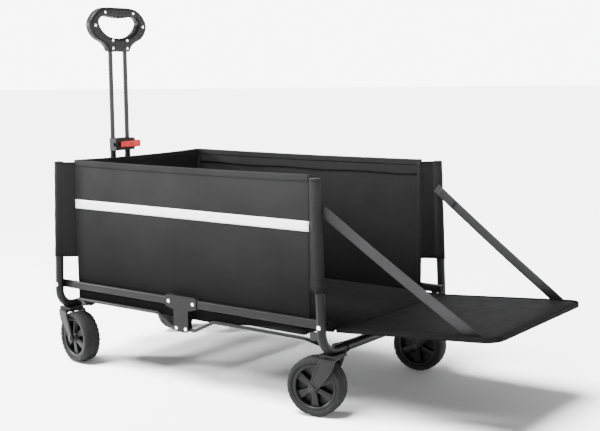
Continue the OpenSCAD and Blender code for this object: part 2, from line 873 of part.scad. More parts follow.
tyre("front", 1, yaw_front_far);  // tyre_front_far
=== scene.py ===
"""Looks of a folding wagon with a fabric bag, a drop tailgate and a telescopic pull handle."""

import json
import math

import bmesh
import bpy
import numpy as np
from mathutils import Matrix, Vector


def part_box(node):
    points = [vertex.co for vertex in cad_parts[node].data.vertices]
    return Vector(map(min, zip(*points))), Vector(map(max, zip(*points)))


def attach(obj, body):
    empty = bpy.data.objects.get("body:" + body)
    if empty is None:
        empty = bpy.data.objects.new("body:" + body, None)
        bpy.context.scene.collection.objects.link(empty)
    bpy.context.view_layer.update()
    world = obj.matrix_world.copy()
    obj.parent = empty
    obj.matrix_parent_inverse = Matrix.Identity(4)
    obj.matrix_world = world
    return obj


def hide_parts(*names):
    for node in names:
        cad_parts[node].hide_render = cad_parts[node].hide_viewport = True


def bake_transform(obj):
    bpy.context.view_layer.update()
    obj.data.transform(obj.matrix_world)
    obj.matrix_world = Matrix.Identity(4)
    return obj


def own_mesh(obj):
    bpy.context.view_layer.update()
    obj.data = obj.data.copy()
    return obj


bl_info = {
    "name": "Folding wagon",
    "version": (1, 0, 0),
    "blender": (4, 5, 0),
    "location": "3D View > Sidebar > Wagon",
    "description": "Cloth, casters, handle and studio of a folding wagon",
    "category": "Add Mesh",
}

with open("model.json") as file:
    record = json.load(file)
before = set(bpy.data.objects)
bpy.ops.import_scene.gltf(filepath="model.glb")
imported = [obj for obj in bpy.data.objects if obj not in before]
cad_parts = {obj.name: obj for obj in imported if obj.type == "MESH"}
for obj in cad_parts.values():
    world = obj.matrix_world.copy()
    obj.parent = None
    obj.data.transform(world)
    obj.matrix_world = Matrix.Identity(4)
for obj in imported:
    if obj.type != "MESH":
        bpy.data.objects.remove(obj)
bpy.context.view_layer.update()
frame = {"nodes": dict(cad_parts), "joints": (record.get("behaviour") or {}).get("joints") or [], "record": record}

# ---- Measures taken from the frame, in metres ----

MM = 0.001
LEAN = math.radians(2.7)
SIDES = {"near": -1, "far": 1}
CORNERS = ("rear_near", "rear_far", "front_near", "front_far")
ENDS = {"rear": 1, "front": -1}


def middle(node):
    """The middle of a node's box."""
    low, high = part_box(node)
    return (low + high) / 2


PANEL_LOW, PANEL_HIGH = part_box("side_panel_near")
MID_X = middle("side_panel_near").x
BAG_END = (PANEL_HIGH.x - PANEL_LOW.x) / 2
BAG_Y = -PANEL_LOW.y
RIM_Z = PANEL_HIGH.z
PIVOT_Z = middle("rear_rivets").z
POST_X = middle("rear_rivets").x - MID_X
TUBE_R = 12.5 * MM
POST_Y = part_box("rear_post_caps")[1].y - TUBE_R
FLOOR_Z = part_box("floor_board_rear")[1].z
BASE_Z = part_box("base_cover_rear")[0].z
RAIL_Y = middle("hinge_plates_far").y
PIVOT_IN, LOW_IN, LOW_DROP = 47 * MM, 18 * MM, 76 * MM
GATE_LOW, GATE_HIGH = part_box("tailgate_cover")
GATE_RISE = math.radians(4.5)
GATE_T = 14 * MM
GATE_W = GATE_HIGH.y - GATE_LOW.y
GATE_X = GATE_LOW.x
GATE_Z = GATE_LOW.z + GATE_T * math.cos(GATE_RISE)
GATE_L = (GATE_HIGH.x - GATE_X - GATE_T * math.sin(GATE_RISE)) / math.cos(GATE_RISE)
GRIP_LOW, GRIP_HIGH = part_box("grip_rear")
HANDLE_X = middle("inner_tubes").x
STRAP_W = 28 * MM
JOINTS = {joint["name"]: joint for joint in frame["joints"]}


def post_x(end, z):
    """Where a post's axis stands at a height; the posts lean towards the bag."""
    return MID_X + ENDS[end] * (POST_X - (z - PIVOT_Z) * math.tan(LEAN))


# ---- Sizes and colours a user would change ----


def length(label, about, value, low=0.0, high=1.0):
    return bpy.props.FloatProperty(name=label, description=about, default=value, min=low,
                                   max=high, subtype="DISTANCE", unit="LENGTH")


def amount(label, about, value, low=0.0, high=1.0):
    return bpy.props.FloatProperty(name=label, description=about, default=value, min=low,
                                   max=high)


def colour(label, about, value):
    return bpy.props.FloatVectorProperty(name=label, description=about, default=value,
                                         size=3, min=0.0, max=1.0, subtype="COLOR")


class WagonCloth(bpy.types.PropertyGroup):
    bag: colour("Bag", "Colour of the bag's cloth", (0.0140, 0.0140, 0.0143))
    base: colour("Base", "Colour of the cloth under the floor", (0.004, 0.004, 0.0042))
    webbing: colour("Webbing", "Colour of the straps", (0.016, 0.016, 0.0165))
    strip: colour("Strip", "Colour of the reflective strips", (0.60, 0.60, 0.605))
    thread: length("Thread", "Pitch of the weave", 1.3 * MM, 0.0004, 0.01)
    bulge: length("Bulge", "How far the walls swell out", 2.0 * MM, 0, 0.003)
    crease: length("Crease", "Depth of the walls' soft creases", 0.7 * MM, 0, 0.003)
    binding: length("Binding", "Height of the tape round the rim", 17 * MM, 0.008, 0.04)
    stitch: length("Stitch", "Length of one stitch", 4.0 * MM, 0.001, 0.01)


class WagonMetal(bpy.types.PropertyGroup):
    paint: colour("Paint", "Colour of the frame's paint", (0.0035, 0.0035, 0.0037))
    bright: colour("Bright", "Colour of the rivets and screws", (0.88, 0.88, 0.89))
    tube: colour("Inner tubes", "Colour of the handle's inner tubes", (0.024, 0.024, 0.025))
    rod: length("Rod", "Radius of the lower frames' rods", 5 * MM, 0.003, 0.01)


class WagonMoulding(bpy.types.PropertyGroup):
    black: colour("Black", "Colour of the black mouldings", (0.0042, 0.0042, 0.0044))
    tyre: colour("Tyre", "Colour of the tyres", (0.0068, 0.0068, 0.0070))
    lever: colour("Lever", "Colour of the latch lever", (0.62, 0.005, 0.006))
    lug: length("Lug", "Height of the tread's lugs", 0.6 * MM, 0, 0.002)
    rounding: length("Rounding", "Rounding of the grip's edges", 9.5 * MM, 0.002, 0.013)


class WagonStage(bpy.types.PropertyGroup):
    floor: colour("Floor", "Colour of the floor", (0.90, 0.90, 0.90))
    horizon: amount("Horizon", "Brightness of the light round the horizon", 8.0, 0, 20)
    sky: amount("Sky", "Brightness of the light from above", 0.45, 0, 20)
    key: amount("Key", "Strength of the broad light from above", 21.0, 0, 50)
    side: amount("Side", "Power of the light from the handle's side, in watts", 220.0, 0, 900)


GROUPS = {"wagon_cloth": WagonCloth, "wagon_metal": WagonMetal,
          "wagon_moulding": WagonMoulding, "wagon_stage": WagonStage}


def sizes(group):
    return getattr(bpy.context.scene, group)


# ---- Finishes ----


class Graph:
    """Adds nodes with their settings, socket values and links."""

    def add(self, kind, settings=None, **sockets):
        node = self.nodes.new(kind)
        for key, value in (settings or {}).items():
            setattr(node, key, value)
        for label, value in sockets.items():
            self.feed(node.inputs[label.replace("_", " ")], value)
        return node

    def feed(self, socket, value):
        if isinstance(value, bpy.types.NodeSocket):
            self.links.new(value, socket)
        else:
            socket.default_value = value

    def maths(self, kind, first, second):
        node = self.add("ShaderNodeMath", {"operation": kind})
        self.feed(node.inputs[0], first)
        self.feed(node.inputs[1], second)
        return node.outputs[0]


    def weighed(self, first, share, second, other):
        """The sum of two values, each times its own share."""
        return self.maths("ADD", self.maths("MULTIPLY", first, share),
                          self.maths("MULTIPLY", second, other))


class Finish(Graph):
    """A material built node by node round one Principled shader."""

    def __init__(self, name, **sockets):
        self.material = bpy.data.materials.new(name)
        self.material.use_nodes = True
        self.nodes = self.material.node_tree.nodes
        self.links = self.material.node_tree.links
        self.shader = self.nodes["Principled BSDF"]
        self.place = self.add("ShaderNodeTexCoord")
        for label, value in sockets.items():
            self.shader.inputs[label.replace("_", " ")].default_value = value

    def noise(self, scale, detail=3.0, stretch=None):
        start = self.place.outputs["Object"]
        if stretch:
            start = self.add("ShaderNodeMapping", Vector=start, Scale=stretch).outputs[0]
        return self.add("ShaderNodeTexNoise", Vector=start, Scale=scale,
                        Detail=detail).outputs["Fac"]

    def wave(self, pitch, direction):
        """Threads or ribs along the UV map, with the given pitch in metres."""
        return self.add("ShaderNodeTexWave", {"bands_direction": direction},
                        Vector=self.place.outputs["UV"], Scale=math.pi / 10 / pitch,
                        Distortion=0.6, Detail=1.0, Detail_Scale=2.0).outputs["Fac"]

    def spread(self, factor, base, dark, light, low=0.3, high=0.7):
        """Varies the base colour between a darker and a lighter shade of it."""
        ramp = self.nodes.new("ShaderNodeValToRGB")
        for stop, at, share in zip(ramp.color_ramp.elements, (low, high), (dark, light)):
            stop.position = at
            stop.color = [min(1.0, share * part) for part in base] + [1.0]
        self.links.new(factor, ramp.inputs["Fac"])
        self.links.new(ramp.outputs["Color"], self.shader.inputs["Base Color"])
        return self

    def rough(self, factor, low, high):
        span = self.add("ShaderNodeMapRange", Value=factor, To_Min=low, To_Max=high)
        self.links.new(span.outputs[0], self.shader.inputs["Roughness"])
        return self

    def relief(self, height, depth, strength=1.0):
        bump = self.add("ShaderNodeBump", Height=height, Distance=depth, Strength=strength)
        self.links.new(bump.outputs["Normal"], self.shader.inputs["Normal"])
        return self


def woven(name, base, painted_shade_share=1.0):
    """Plain-woven polyester whose threads follow the piece's own UV map. Its colour carries painted shade: it is
    darkened towards the floor and rises from a share of its colour at the floor to full colour at the rim."""
    cloth = Finish(name, Specular_IOR_Level=0.015)
    thread = sizes("wagon_cloth").thread
    warp, weft = cloth.wave(thread, "X"), cloth.wave(thread, "Y")
    over = cloth.maths("MAXIMUM", warp, weft)
    shade = cloth.weighed(cloth.noise(5.0, 4.0), 0.75, cloth.noise(420.0, 2.0), 0.25)
    cloth.spread(shade, base, 0.80, 1.22).rough(cloth.noise(30.0), 0.62, 0.80)
    # Painted shade: the base colour is scaled by height, darkest at the floor and full at the rim.
    if painted_shade_share < 1:
        height = cloth.add("ShaderNodeSeparateXYZ", Vector=cloth.place.outputs["Object"])
        share = cloth.add("ShaderNodeMapRange", Value=height.outputs["Z"], From_Min=BASE_Z,
                          From_Max=RIM_Z, To_Min=painted_shade_share, To_Max=1.0)
        painted_shade_colour = cloth.add("ShaderNodeVectorMath", {"operation": "SCALE"},
                          Scale=share.outputs[0])
        socket = cloth.shader.inputs["Base Color"]
        cloth.links.new(socket.links[0].from_socket, painted_shade_colour.inputs[0])
        cloth.links.new(painted_shade_colour.outputs[0], socket)
    weave = cloth.weighed(over, 0.6, cloth.noise(60.0, 3.0), 0.9)
    return cloth.relief(weave, 0.25 * MM, 0.8).material


def melange_webbing(name, base):
    """Ribbed webbing with light and dark yarns."""
    tape = Finish(name, Sheen_Weight=0.02, Sheen_Roughness=0.4, Specular_IOR_Level=0.07)
    ribs = tape.wave(2.2 * MM, "X")
    yarn = tape.noise(900.0, 2.0)
    mixed = tape.weighed(yarn, 0.8, ribs, 0.2)
    tape.spread(mixed, base, 0.45, 1.75, 0.35, 0.65).rough(yarn, 0.65, 0.85)
    return tape.relief(tape.maths("ADD", ribs, yarn), 0.4 * MM, 0.8).material


def moulded(name, base, low, high, grain=700.0, depth=0.015 * MM, **sockets):
    """Injection moulding with a fine spark-eroded grain and faint flow marks."""
    part = Finish(name, **{"Specular_IOR_Level": 0.14, **sockets})
    fine, broad = part.noise(grain, 2.0), part.noise(14.0, 4.0)
    part.spread(broad, base, 0.82, 1.2).rough(part.noise(45.0, 3.0), low, high)
    return part.relief(fine, depth, 0.7).material


def painted(name, base):
    """Powder coat with its faint orange peel and rubbed patches."""
    coat = Finish(name, Coat_Weight=0.015, Coat_Roughness=0.28, Specular_IOR_Level=0.08)
    coat.spread(coat.noise(9.0, 5.0), base, 0.85, 1.25)
    coat.rough(coat.noise(28.0, 4.0), 0.34, 0.50)
    return coat.relief(coat.noise(330.0, 1.0), 0.10 * MM, 0.6).material


def plated(name, base, low, high, stretch=(1, 1, 1)):
    """Bare or plated metal with fine drawn lines."""
    metal = Finish(name, Metallic=1.0)
    lines = metal.noise(160.0, 3.0, stretch=stretch)
    metal.spread(lines, base, 0.82, 1.1).rough(lines, low, high)
    return metal.relief(lines, 0.02 * MM, 0.5).material


def reflective(name, base):
    """Light grey tape with a fine pattern of reflecting cells."""
    tape = Finish(name, Coat_Weight=0.25, Coat_Roughness=0.2)
    cells = tape.add("ShaderNodeTexVoronoi", Vector=tape.place.outputs["Object"],
                     Scale=650.0).outputs["Distance"]
    tape.spread(tape.noise(11.0, 3.0), base, 0.90, 1.08).rough(cells, 0.32, 0.5)
    return tape.relief(cells, 0.12 * MM, 0.6).material


def rubber(name, base):
    """Dull rubber with a dusty bloom."""
    part = Finish(name, Specular_IOR_Level=0.12)
    part.spread(part.noise(22.0, 5.0), base, 0.75, 1.35).rough(part.noise(60.0), 0.68, 0.88)
    return part.relief(part.noise(800.0, 2.0), 0.12 * MM, 0.8).material


def make_finishes():
    """A finish for every material slot of the record."""
    cloth, metal = sizes("wagon_cloth"), sizes("wagon_metal")
    plastic = sizes("wagon_moulding")
    return {
        "frame_paint": painted("black powder coat", metal.paint),
        # The bag cloth carries painted shade and is darker towards the floor.
        "bag_fabric": woven("charcoal oxford cloth", cloth.bag, painted_shade_share=0.10),
        "base_fabric": woven("black base cloth", cloth.base),
        "floor_cloth": woven("black floor cloth", [0.22 * c for c in cloth.bag]),
        "board": moulded("fibreboard", (0.25, 0.18, 0.12), 0.6, 0.8),
        "reflective_tape": reflective("reflective tape", cloth.strip),
        "webbing": melange_webbing("melange webbing", cloth.webbing),
        "bright_rivet": plated("bright zinc", metal.bright, 0.18, 0.30),
        "zinc_steel": plated("black zinc", (0.02, 0.02, 0.021), 0.30, 0.44),
        "inner_tube": plated("satin dark tube", metal.tube, 0.26, 0.38, (6, 6, 0.15)),
        "moulded_black": moulded("black grained moulding", plastic.black, 0.42, 0.58),
        "fork_plastic": moulded("satin fork nylon", plastic.black, 0.36, 0.50, 500.0),
        "rim_plastic": moulded("satin rim nylon", [0.6 * c for c in plastic.black], 0.36,
                               0.50, 500.0),
        "tyre_rubber": rubber("tyre rubber", plastic.tyre),
        "lever_red": moulded("red lever moulding", plastic.lever, 0.26, 0.36, 400.0,
                             0.03 * MM, Coat_Weight=0.12, Coat_Roughness=0.12),
    }


FINISHES = {}


def finish(slot):
    """The finish of a material slot of the record, made once."""
    if not FINISHES:
        FINISHES.update(make_finishes())
    return FINISHES[slot]


# ---- Shapes ----


def piece(name, points, faces, slot):
    """A closed mesh with its faces outwards, in the finish of the given slot."""
    mesh = bpy.data.meshes.new(name)
    mesh.from_pydata([tuple(map(float, p)) for p in points], [], [list(f) for f in faces])
    turn_out(mesh, merge=1e-6)
    made = bpy.data.objects.new(name, mesh)
    bpy.context.scene.collection.objects.link(made)
    mesh.materials.append(finish(slot))
    mesh.polygons.foreach_set("use_smooth", [True] * len(mesh.polygons))
    return made


def turn_out(mesh, merge=None):
    """Turns a closed mesh's faces outwards, once its close points are merged."""
    shape = bmesh.new()
    shape.from_mesh(mesh)
    if merge:
        bmesh.ops.remove_doubles(shape, verts=shape.verts, dist=merge)
    bmesh.ops.recalc_face_normals(shape, faces=shape.faces)
    shape.to_mesh(mesh)
    shape.free()


def settle(made, *modifiers):
    """Adds the modifiers and keeps their result as a plain mesh."""
    for kind, values in modifiers:
        added = made.modifiers.new(kind.title(), kind)
        for key, value in values.items():
            setattr(added, key, value)
    graph = bpy.context.evaluated_depsgraph_get()
    mesh = bpy.data.meshes.new_from_object(made.evaluated_get(graph))
    made.modifiers.clear()
    made.data = mesh
    mesh.name = made.name
    return made


def soften(made, width):
    """Rounds a piece's sharp edges and shades it by them."""
    settle(made, ("BEVEL", {"width": width, "segments": 3, "limit_method": "ANGLE",
                            "angle_limit": math.radians(35), "harden_normals": False}))
    return by_angle(made, 40)


def by_angle(made, degrees):
    """Shades a piece sharply at edges that turn by more than an angle."""
    made.data.set_sharp_from_angle(angle=math.radians(degrees))
    return made


def lay_threads(made):
    """Gives a cloth piece a UV map in metres, so that its weave has one scale."""
    mesh = made.data
    layer = mesh.uv_layers.get("cloth") or mesh.uv_layers.new(name="cloth")
    points = np.zeros(len(mesh.vertices) * 3)
    mesh.vertices.foreach_get("co", points)
    corners = np.zeros(len(mesh.loops), int)
    mesh.loops.foreach_get("vertex_index", corners)
    faces = np.zeros(len(mesh.polygons) * 3)
    mesh.polygons.foreach_get("normal", faces)
    count = np.zeros(len(mesh.polygons), int)
    mesh.polygons.foreach_get("loop_total", count)
    across = np.repeat(np.abs(faces.reshape(-1, 3)).argmax(1), count)
    at = points.reshape(-1, 3)[corners]
    flat = np.where((across == 0)[:, None], at[:, [1, 2]],
                    np.where((across == 1)[:, None], at[:, [0, 2]], at[:, [0, 1]]))
    layer.data.foreach_set("uv", flat.ravel())
    return made


def spots(x, y, z):
    """Points from their coordinates, which may be grids, rows or single numbers."""
    return np.stack(np.broadcast_arrays(x, y, z), -1)


def quads(index, flip=False):
    """The faces between neighbouring rows of vertex numbers."""
    a, b, c, d = index[:-1, :-1], index[1:, :-1], index[1:, 1:], index[:-1, 1:]
    loops = np.stack([a, d, c, b] if flip else [a, b, c, d], -1).reshape(-1, 4)
    return loops.tolist()


def shell(grid, thickness):
    """Points and faces of a sheet of the given thickness round a grid of points."""
    rows, columns = grid.shape[:2]
    out = np.cross(np.gradient(grid, axis=0), np.gradient(grid, axis=1))
    out /= np.linalg.norm(out, axis=2, keepdims=True) + 1e-12
    half = np.broadcast_to(np.asarray(thickness, float), (rows, columns))[..., None] / 2
    top = np.arange(rows * columns).reshape(rows, columns)
    under = top + rows * columns
    points = np.concatenate([(grid + out * half).reshape(-1, 3),
                             (grid - out * half).reshape(-1, 3)])
    faces = quads(top) + quads(under, True)
    for line, other in ((top[0], under[0]), (top[:, -1], under[:, -1]),
                        (top[-1][::-1], under[-1][::-1]), (top[::-1, 0], under[::-1, 0])):
        faces += [[line[i], line[i + 1], other[i + 1], other[i]] for i in range(len(line) - 1)]
    return points, faces


def sweep(path, section, up=None, closed=False):
    """Points and faces of a section carried along a path. The section's first number
    lies along the path's side and the second along its up direction."""
    path = np.asarray(path, float)
    count = len(path)
    ahead = np.roll(path, -1, 0) - np.roll(path, 1, 0)
    if not closed:
        ahead[0], ahead[-1] = path[1] - path[0], path[-1] - path[-2]
    ahead /= np.linalg.norm(ahead, axis=1, keepdims=True)
    sections = np.broadcast_to(np.asarray(section, float), (count, *np.shape(section)[-2:]))
    if up is None:
        start = np.array([0, 0, 1.0]) if abs(ahead[0][2]) < 0.9 else np.array([1.0, 0, 0])
        ups = [start]
        for way in ahead[1:]:
            last = ups[-1] - way * (ups[-1] @ way)
            ups.append(last / np.linalg.norm(last))
        ups = np.array(ups)
    else:
        ups = np.broadcast_to(np.asarray(up, float), (count, 3))
    side = np.cross(ahead, ups)
    side /= np.linalg.norm(side, axis=1, keepdims=True)
    ups = np.cross(side, ahead)
    points = (path[:, None] + sections[..., :1] * side[:, None]
              + sections[..., 1:] * ups[:, None]).reshape(-1, 3)
    around = sections.shape[1]
    index = np.arange(count * around).reshape(count, around)
    index = np.concatenate([index, index[:, :1]], 1)
    if closed:
        return points, quads(np.concatenate([index, index[:1]], 0))
    return points, quads(index) + [index[0, :-1].tolist(), index[-1, :-1][::-1].tolist()]


def disc(radius, steps):
    """A round section."""
    turn = np.arange(steps) * 2 * math.pi / steps
    return radius * np.stack([np.cos(turn), np.sin(turn)], 1)


def rounded_box(width, height, radius, steps=3):
    """A rectangular section with rounded corners."""
    corners = []
    for quarter, (sx, sy) in enumerate(((1, 1), (-1, 1), (-1, -1), (1, -1))):
        for step in range(steps + 1):
            turn = math.pi / 2 * (quarter + step / steps)
            corners.append((sx * (width / 2 - radius) + radius * math.cos(turn),
                            sy * (height / 2 - radius) + radius * math.sin(turn)))
    return np.array(corners)


def bent(corners, radius):
    """A path whose corners are bent to a radius."""
    steps = 6
    corners = [np.asarray(c, float) for c in corners]
    path = [corners[0]]
    for a, p, b in zip(corners, corners[1:], corners[2:]):
        before, after = (p - a) / np.linalg.norm(p - a), (b - p) / np.linalg.norm(b - p)
        angle = math.acos(max(-1.0, min(1.0, before @ after)))
        inward = after - (after @ before) * before
        inward /= np.linalg.norm(inward)
        centre = p - radius * math.tan(angle / 2) * before + radius * inward
        path += [centre + radius * (math.sin(angle * i / steps) * before
                                    - math.cos(angle * i / steps) * inward)
                 for i in range(steps + 1)]
    return np.array(path + [corners[-1]])


def turned(profile, steps=64):
    """Points and faces of a profile of (radius, along) pairs turned about local Y."""
    profile = np.asarray(profile, float)
    turn = np.arange(steps) * 2 * math.pi / steps
    points = np.stack([np.outer(np.cos(turn), profile[:, 0]),
                       np.tile(profile[:, 1], (steps, 1)),
                       np.outer(np.sin(turn), profile[:, 0])], -1).reshape(-1, 3)
    index = np.arange(steps * len(profile)).reshape(steps, -1)
    index = np.concatenate([index, index[:, :1]], 1)
    return points, quads(np.concatenate([index, index[:1]], 0))


def several(parts):
    """Joins lists of points and faces into one."""
    points, faces = [], []
    for some, between in parts:
        faces += [[i + len(points) for i in f] for f in between]
        points += [tuple(p) for p in some]
    return points, faces


def prism(outline, low, high):
    """Points and faces of an outline in local X and Z, thick from low to high along Y."""
    outline = np.asarray(outline, float)
    count = len(outline)
    points = [(x, low, z) for x, z in outline] + [(x, high, z) for x, z in outline]
    faces = [list(range(count)), list(range(count, 2 * count))[::-1]]
    faces += [[i, i + count, (i + 1) % count + count, (i + 1) % count] for i in range(count)]
    return points, faces


def moved(points, matrix):
    """Points moved by a matrix."""
    points = np.asarray(points, float)
    matrix = np.array(matrix, float)
    return points @ matrix[:3, :3].T + matrix[:3, 3]


def placed(shape, matrix):
    """Points and faces of a shape, moved by a matrix."""
    return moved(shape[0], matrix), shape[1]


def smoothstep(value):
    """An even rise from 0 to 1 with level ends."""
    value = np.clip(value, 0, 1)
    return value * value * (3 - 2 * value)


def sewn(name, shape, body=None, slot="bag_fabric"):
    """A cloth piece with its threads laid, which rides on a body, or else on the rear frame."""
    made = lay_threads(piece(name, *shape, slot))
    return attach(made, body) if body else crumple(made)


def hard(name, shape, slot, body, degrees, replaced=None):
    """A hard piece, shaded by its edges, which may take a CAD node's place."""
    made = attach(by_angle(piece(name, *shape, slot), degrees), body)
    if replaced:
        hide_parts(replaced)
    return made


def crumple(made):
    """Makes a piece of the bag's walls ride on the rear frame, with a mesh of its own."""
    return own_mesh(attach(made, "rear_frame"))


# ---- Repeated small parts, made by geometry nodes ----


class Tree(Graph):
    """A geometry node tree with named lengths and a finish as its inputs."""

    def __init__(self, name, *lengths):
        self.group = bpy.data.node_groups.new(name, "GeometryNodeTree")
        self.nodes, self.links = self.group.nodes, self.group.links
        self.socket("Geometry", "NodeSocketGeometry")
        for label in lengths:
            self.socket(label, "NodeSocketFloat")
        self.socket("Finish", "NodeSocketMaterial")
        self.socket("Geometry", "NodeSocketGeometry", "OUTPUT")
        self.given = self.nodes.new("NodeGroupInput").outputs
        self.result = self.nodes.new("NodeGroupOutput").inputs[0]

    def socket(self, label, kind, way="INPUT"):
        self.group.interface.new_socket(label, in_out=way, socket_type=kind)

    def repeat(self, one, sizes_xyz, points=None, turn=None):
        """Puts one shape, scaled to the named inputs, on every point of the given mesh."""
        size = self.add("ShaderNodeCombineXYZ", X=sizes_xyz[0], Y=sizes_xyz[1], Z=sizes_xyz[2])
        scaled = self.add("GeometryNodeTransform", Geometry=one, Scale=size.outputs[0])
        if turn is None:
            turn = self.add("GeometryNodeInputNamedAttribute", {"data_type": "FLOAT_VECTOR"},
                            Name="turn").outputs[0]
        row = self.add("GeometryNodeInstanceOnPoints", Points=points or self.given["Geometry"],
                       Instance=scaled.outputs[0], Rotation=turn)
        real = self.add("GeometryNodeRealizeInstances", Geometry=row.outputs[0])
        last = self.add("GeometryNodeSetMaterial", Geometry=real.outputs[0],
                        Material=self.given["Finish"])
        self.links.new(last.outputs[0], self.result)
        return self.group


def grow(name, tree, points, edges, slot, body=None, turns=None, **values):
    """Runs a tree on points and edges and keeps the result as a plain piece."""
    mesh = bpy.data.meshes.new(name)
    mesh.from_pydata([tuple(map(float, p)) for p in points], edges, [])
    if turns is not None:
        layer = mesh.attributes.new("turn", "FLOAT_VECTOR", "POINT")
        layer.data.foreach_set("vector", np.asarray(turns, float).ravel())
    made = bpy.data.objects.new(name, mesh)
    bpy.context.scene.collection.objects.link(made)
    nodes = made.modifiers.new("Repeat", "NODES")
    nodes.node_group = tree
    for item in tree.interface.items_tree:
        if item.in_out == "INPUT" and item.name in values:
            nodes[item.identifier] = values[item.name]
        if item.in_out == "INPUT" and item.name == "Finish":
            nodes[item.identifier] = finish(slot)
    settle(made)
    made.data.polygons.foreach_set("use_smooth", [True] * len(made.data.polygons))
    by_angle(made, 45)
    if body:
        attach(made, body)
    return made


def stitch_tree():
    """Stitches at an even pitch along the given edges."""
    tree = Tree("Stitches", "Pitch", "Length", "Radius")
    line = tree.add("GeometryNodeMeshToCurve", Mesh=tree.given["Geometry"])
    even = tree.add("GeometryNodeResampleCurve", {"mode": "LENGTH"}, Curve=line.outputs[0],
                    Length=tree.given["Pitch"])
    ball = tree.add("GeometryNodeMeshIcoSphere", Radius=1.0, Subdivisions=1)
    along = tree.add("GeometryNodeInputTangent")
    turn = tree.add("FunctionNodeAlignRotationToVector", {"axis": "X"},
                    Vector=along.outputs[0])
    radius = tree.given["Radius"]
    return tree.repeat(ball.outputs[0],
                       (tree.maths("DIVIDE", tree.given["Length"], 2.0), radius, radius),
                       even.outputs[0], turn.outputs[0])


def rivet_tree():
    """Domed rivet heads on washers, each turned by its point's own angles."""
    tree = Tree("Rivets", "Radius", "Height")
    washer = tree.add("GeometryNodeMeshCylinder", Vertices=28, Radius=1.0, Depth=0.3)
    ring = tree.add("GeometryNodeTransform", Geometry=washer.outputs[0],
                    Translation=(0, 0, 0.15))
    ball = tree.add("GeometryNodeMeshUVSphere", Segments=28, Rings=14, Radius=0.8)
    dome = tree.add("GeometryNodeTransform", Geometry=ball.outputs[0],
                    Translation=(0, 0, 0.25), Scale=(1, 1, 0.95))
    both = tree.add("GeometryNodeJoinGeometry")
    for part in (ring, dome):
        tree.links.new(part.outputs[0], both.inputs[0])
    radius = tree.given["Radius"]
    return tree.repeat(both.outputs[0], (radius, radius, tree.given["Height"]))


def lug_tree():
    """Low tread lugs, each turned by its point's own angles."""
    tree = Tree("Lugs", "Length", "Width", "Height")
    block = tree.add("GeometryNodeMeshCylinder", Vertices=8, Radius=0.5, Depth=1.0)
    return tree.repeat(block.outputs[0],
                       [tree.given[label] for label in ("Length", "Width", "Height")])


TREES = {}


def tree(kind):
    if kind not in TREES:
        TREES[kind] = {"stitch": stitch_tree, "rivet": rivet_tree, "lug": lug_tree}[kind]()
    return TREES[kind]


def stitches(name, lines, slot, body=None, radius=0.55 * MM):
    """One mesh of stitches along several lines of points."""
    points, edges = [], []
    for line in lines:
        edges += [(len(points) + i, len(points) + i + 1) for i in range(len(line) - 1)]
        points += [tuple(p) for p in line]
    stitch = sizes("wagon_cloth").stitch
    return grow(name, tree("stitch"), points, edges, slot, body, Pitch=1.35 * stitch,
                Length=stitch, Radius=radius)


# ---- Bag ----

WALL_T = 1.6 * MM


def rim_height(x):
    """The rim, which droops a little between the posts."""
    share = np.clip((np.asarray(x) - MID_X) / BAG_END, -1, 1)
    return RIM_Z - 1.5 * MM - 2.5 * MM * (1 - share ** 2)


def hem_height(x):
    """The lower edge of the walls, higher towards the tailgate."""
    share = (np.asarray(x) - MID_X) / BAG_END
    return BASE_Z - 2 * MM + 32 * MM * smoothstep((share - 0.15) / 0.95)


def wall_swell(along, z):
    """How far a wall stands out: it swells above the rails and creases softly."""
    cloth = sizes("wagon_cloth")
    low = PIVOT_Z + 25 * MM
    up = np.clip((z - low) / (RIM_Z - 20 * MM - low), 0, 1)
    swell = cloth.bulge * np.sin(math.pi * up) ** 0.8
    crease = (np.sin(along * 17 + 3.0 * z) * np.sin(along * 6.1 - 5.0 * z + 0.6)
              + 0.5 * np.sin(along * 39 - 14 * z) * np.sin(9 * z + 2 * along))
    return swell + cloth.crease * crease * np.sin(math.pi * up)


def side_wall(side):
    """A side wall, which swells out between the rails and the rim."""
    sign = SIDES[side]
    along = np.linspace(-BAG_END + 1 * MM, BAG_END, 121)
    up = np.linspace(0, 1, 61)
    x = MID_X + along[:, None]
    low, high = hem_height(x), rim_height(x)
    z = low + (high - low) * up
    y = sign * (BAG_Y - WALL_T / 2 - 0.4 * MM + wall_swell(along[:, None], z))
    wall = sewn(f"bag_wall_{side}", shell(spots(x, y, z), WALL_T))
    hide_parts(f"side_panel_{side}")


def hem_band(side):
    """The doubled cloth inside the rim, whose lower corner is rounded at the tailgate."""
    sign = SIDES[side]
    along = np.linspace(-BAG_END + 6 * MM, BAG_END - 4 * MM, 91)
    up = np.linspace(0, 1, 9)
    ends = np.clip((BAG_END - 4 * MM - along) / (22 * MM), 0, 1)
    drop = 44 * MM * np.sqrt(1 - (1 - ends) ** 2 * 0.55) + 1.5 * MM * np.sin(along * 21)
    x = MID_X + along[:, None]
    high = rim_height(x) - 1 * MM
    z = high - drop[:, None] * (1 - up)
    y = sign * (BAG_Y - WALL_T - 1.5 * MM + wall_swell(along[:, None], z) * 0.9)
    band = sewn(f"hem_band_{side}", shell(spots(x, y, z), 1.2 * MM))


def end_hem(side):
    """Two seams down a wall's open end, on a narrow tape inside it."""
    x = MID_X + BAG_END - 9 * MM
    z = np.linspace(PIVOT_Z + 4 * MM, RIM_Z - 8 * MM, 61)
    out = BAG_Y - WALL_T - 2.2 * MM + wall_swell(BAG_END - 9 * MM, z) * 0.9
    path = spots(x, SIDES[side] * out, z)
    section = rounded_box(13 * MM, 1.6 * MM, 0.6 * MM, 2)
    sewn(f"end_hem_{side}", sweep(path, section, up=(0, 1, 0)))
    lines = [path + [dx, -SIDES[side] * 0.9 * MM, 0] for dx in (-4.6 * MM, 4.6 * MM)]
    crumple(stitches(f"end_stitches_{side}", lines, "webbing", radius=0.45 * MM))


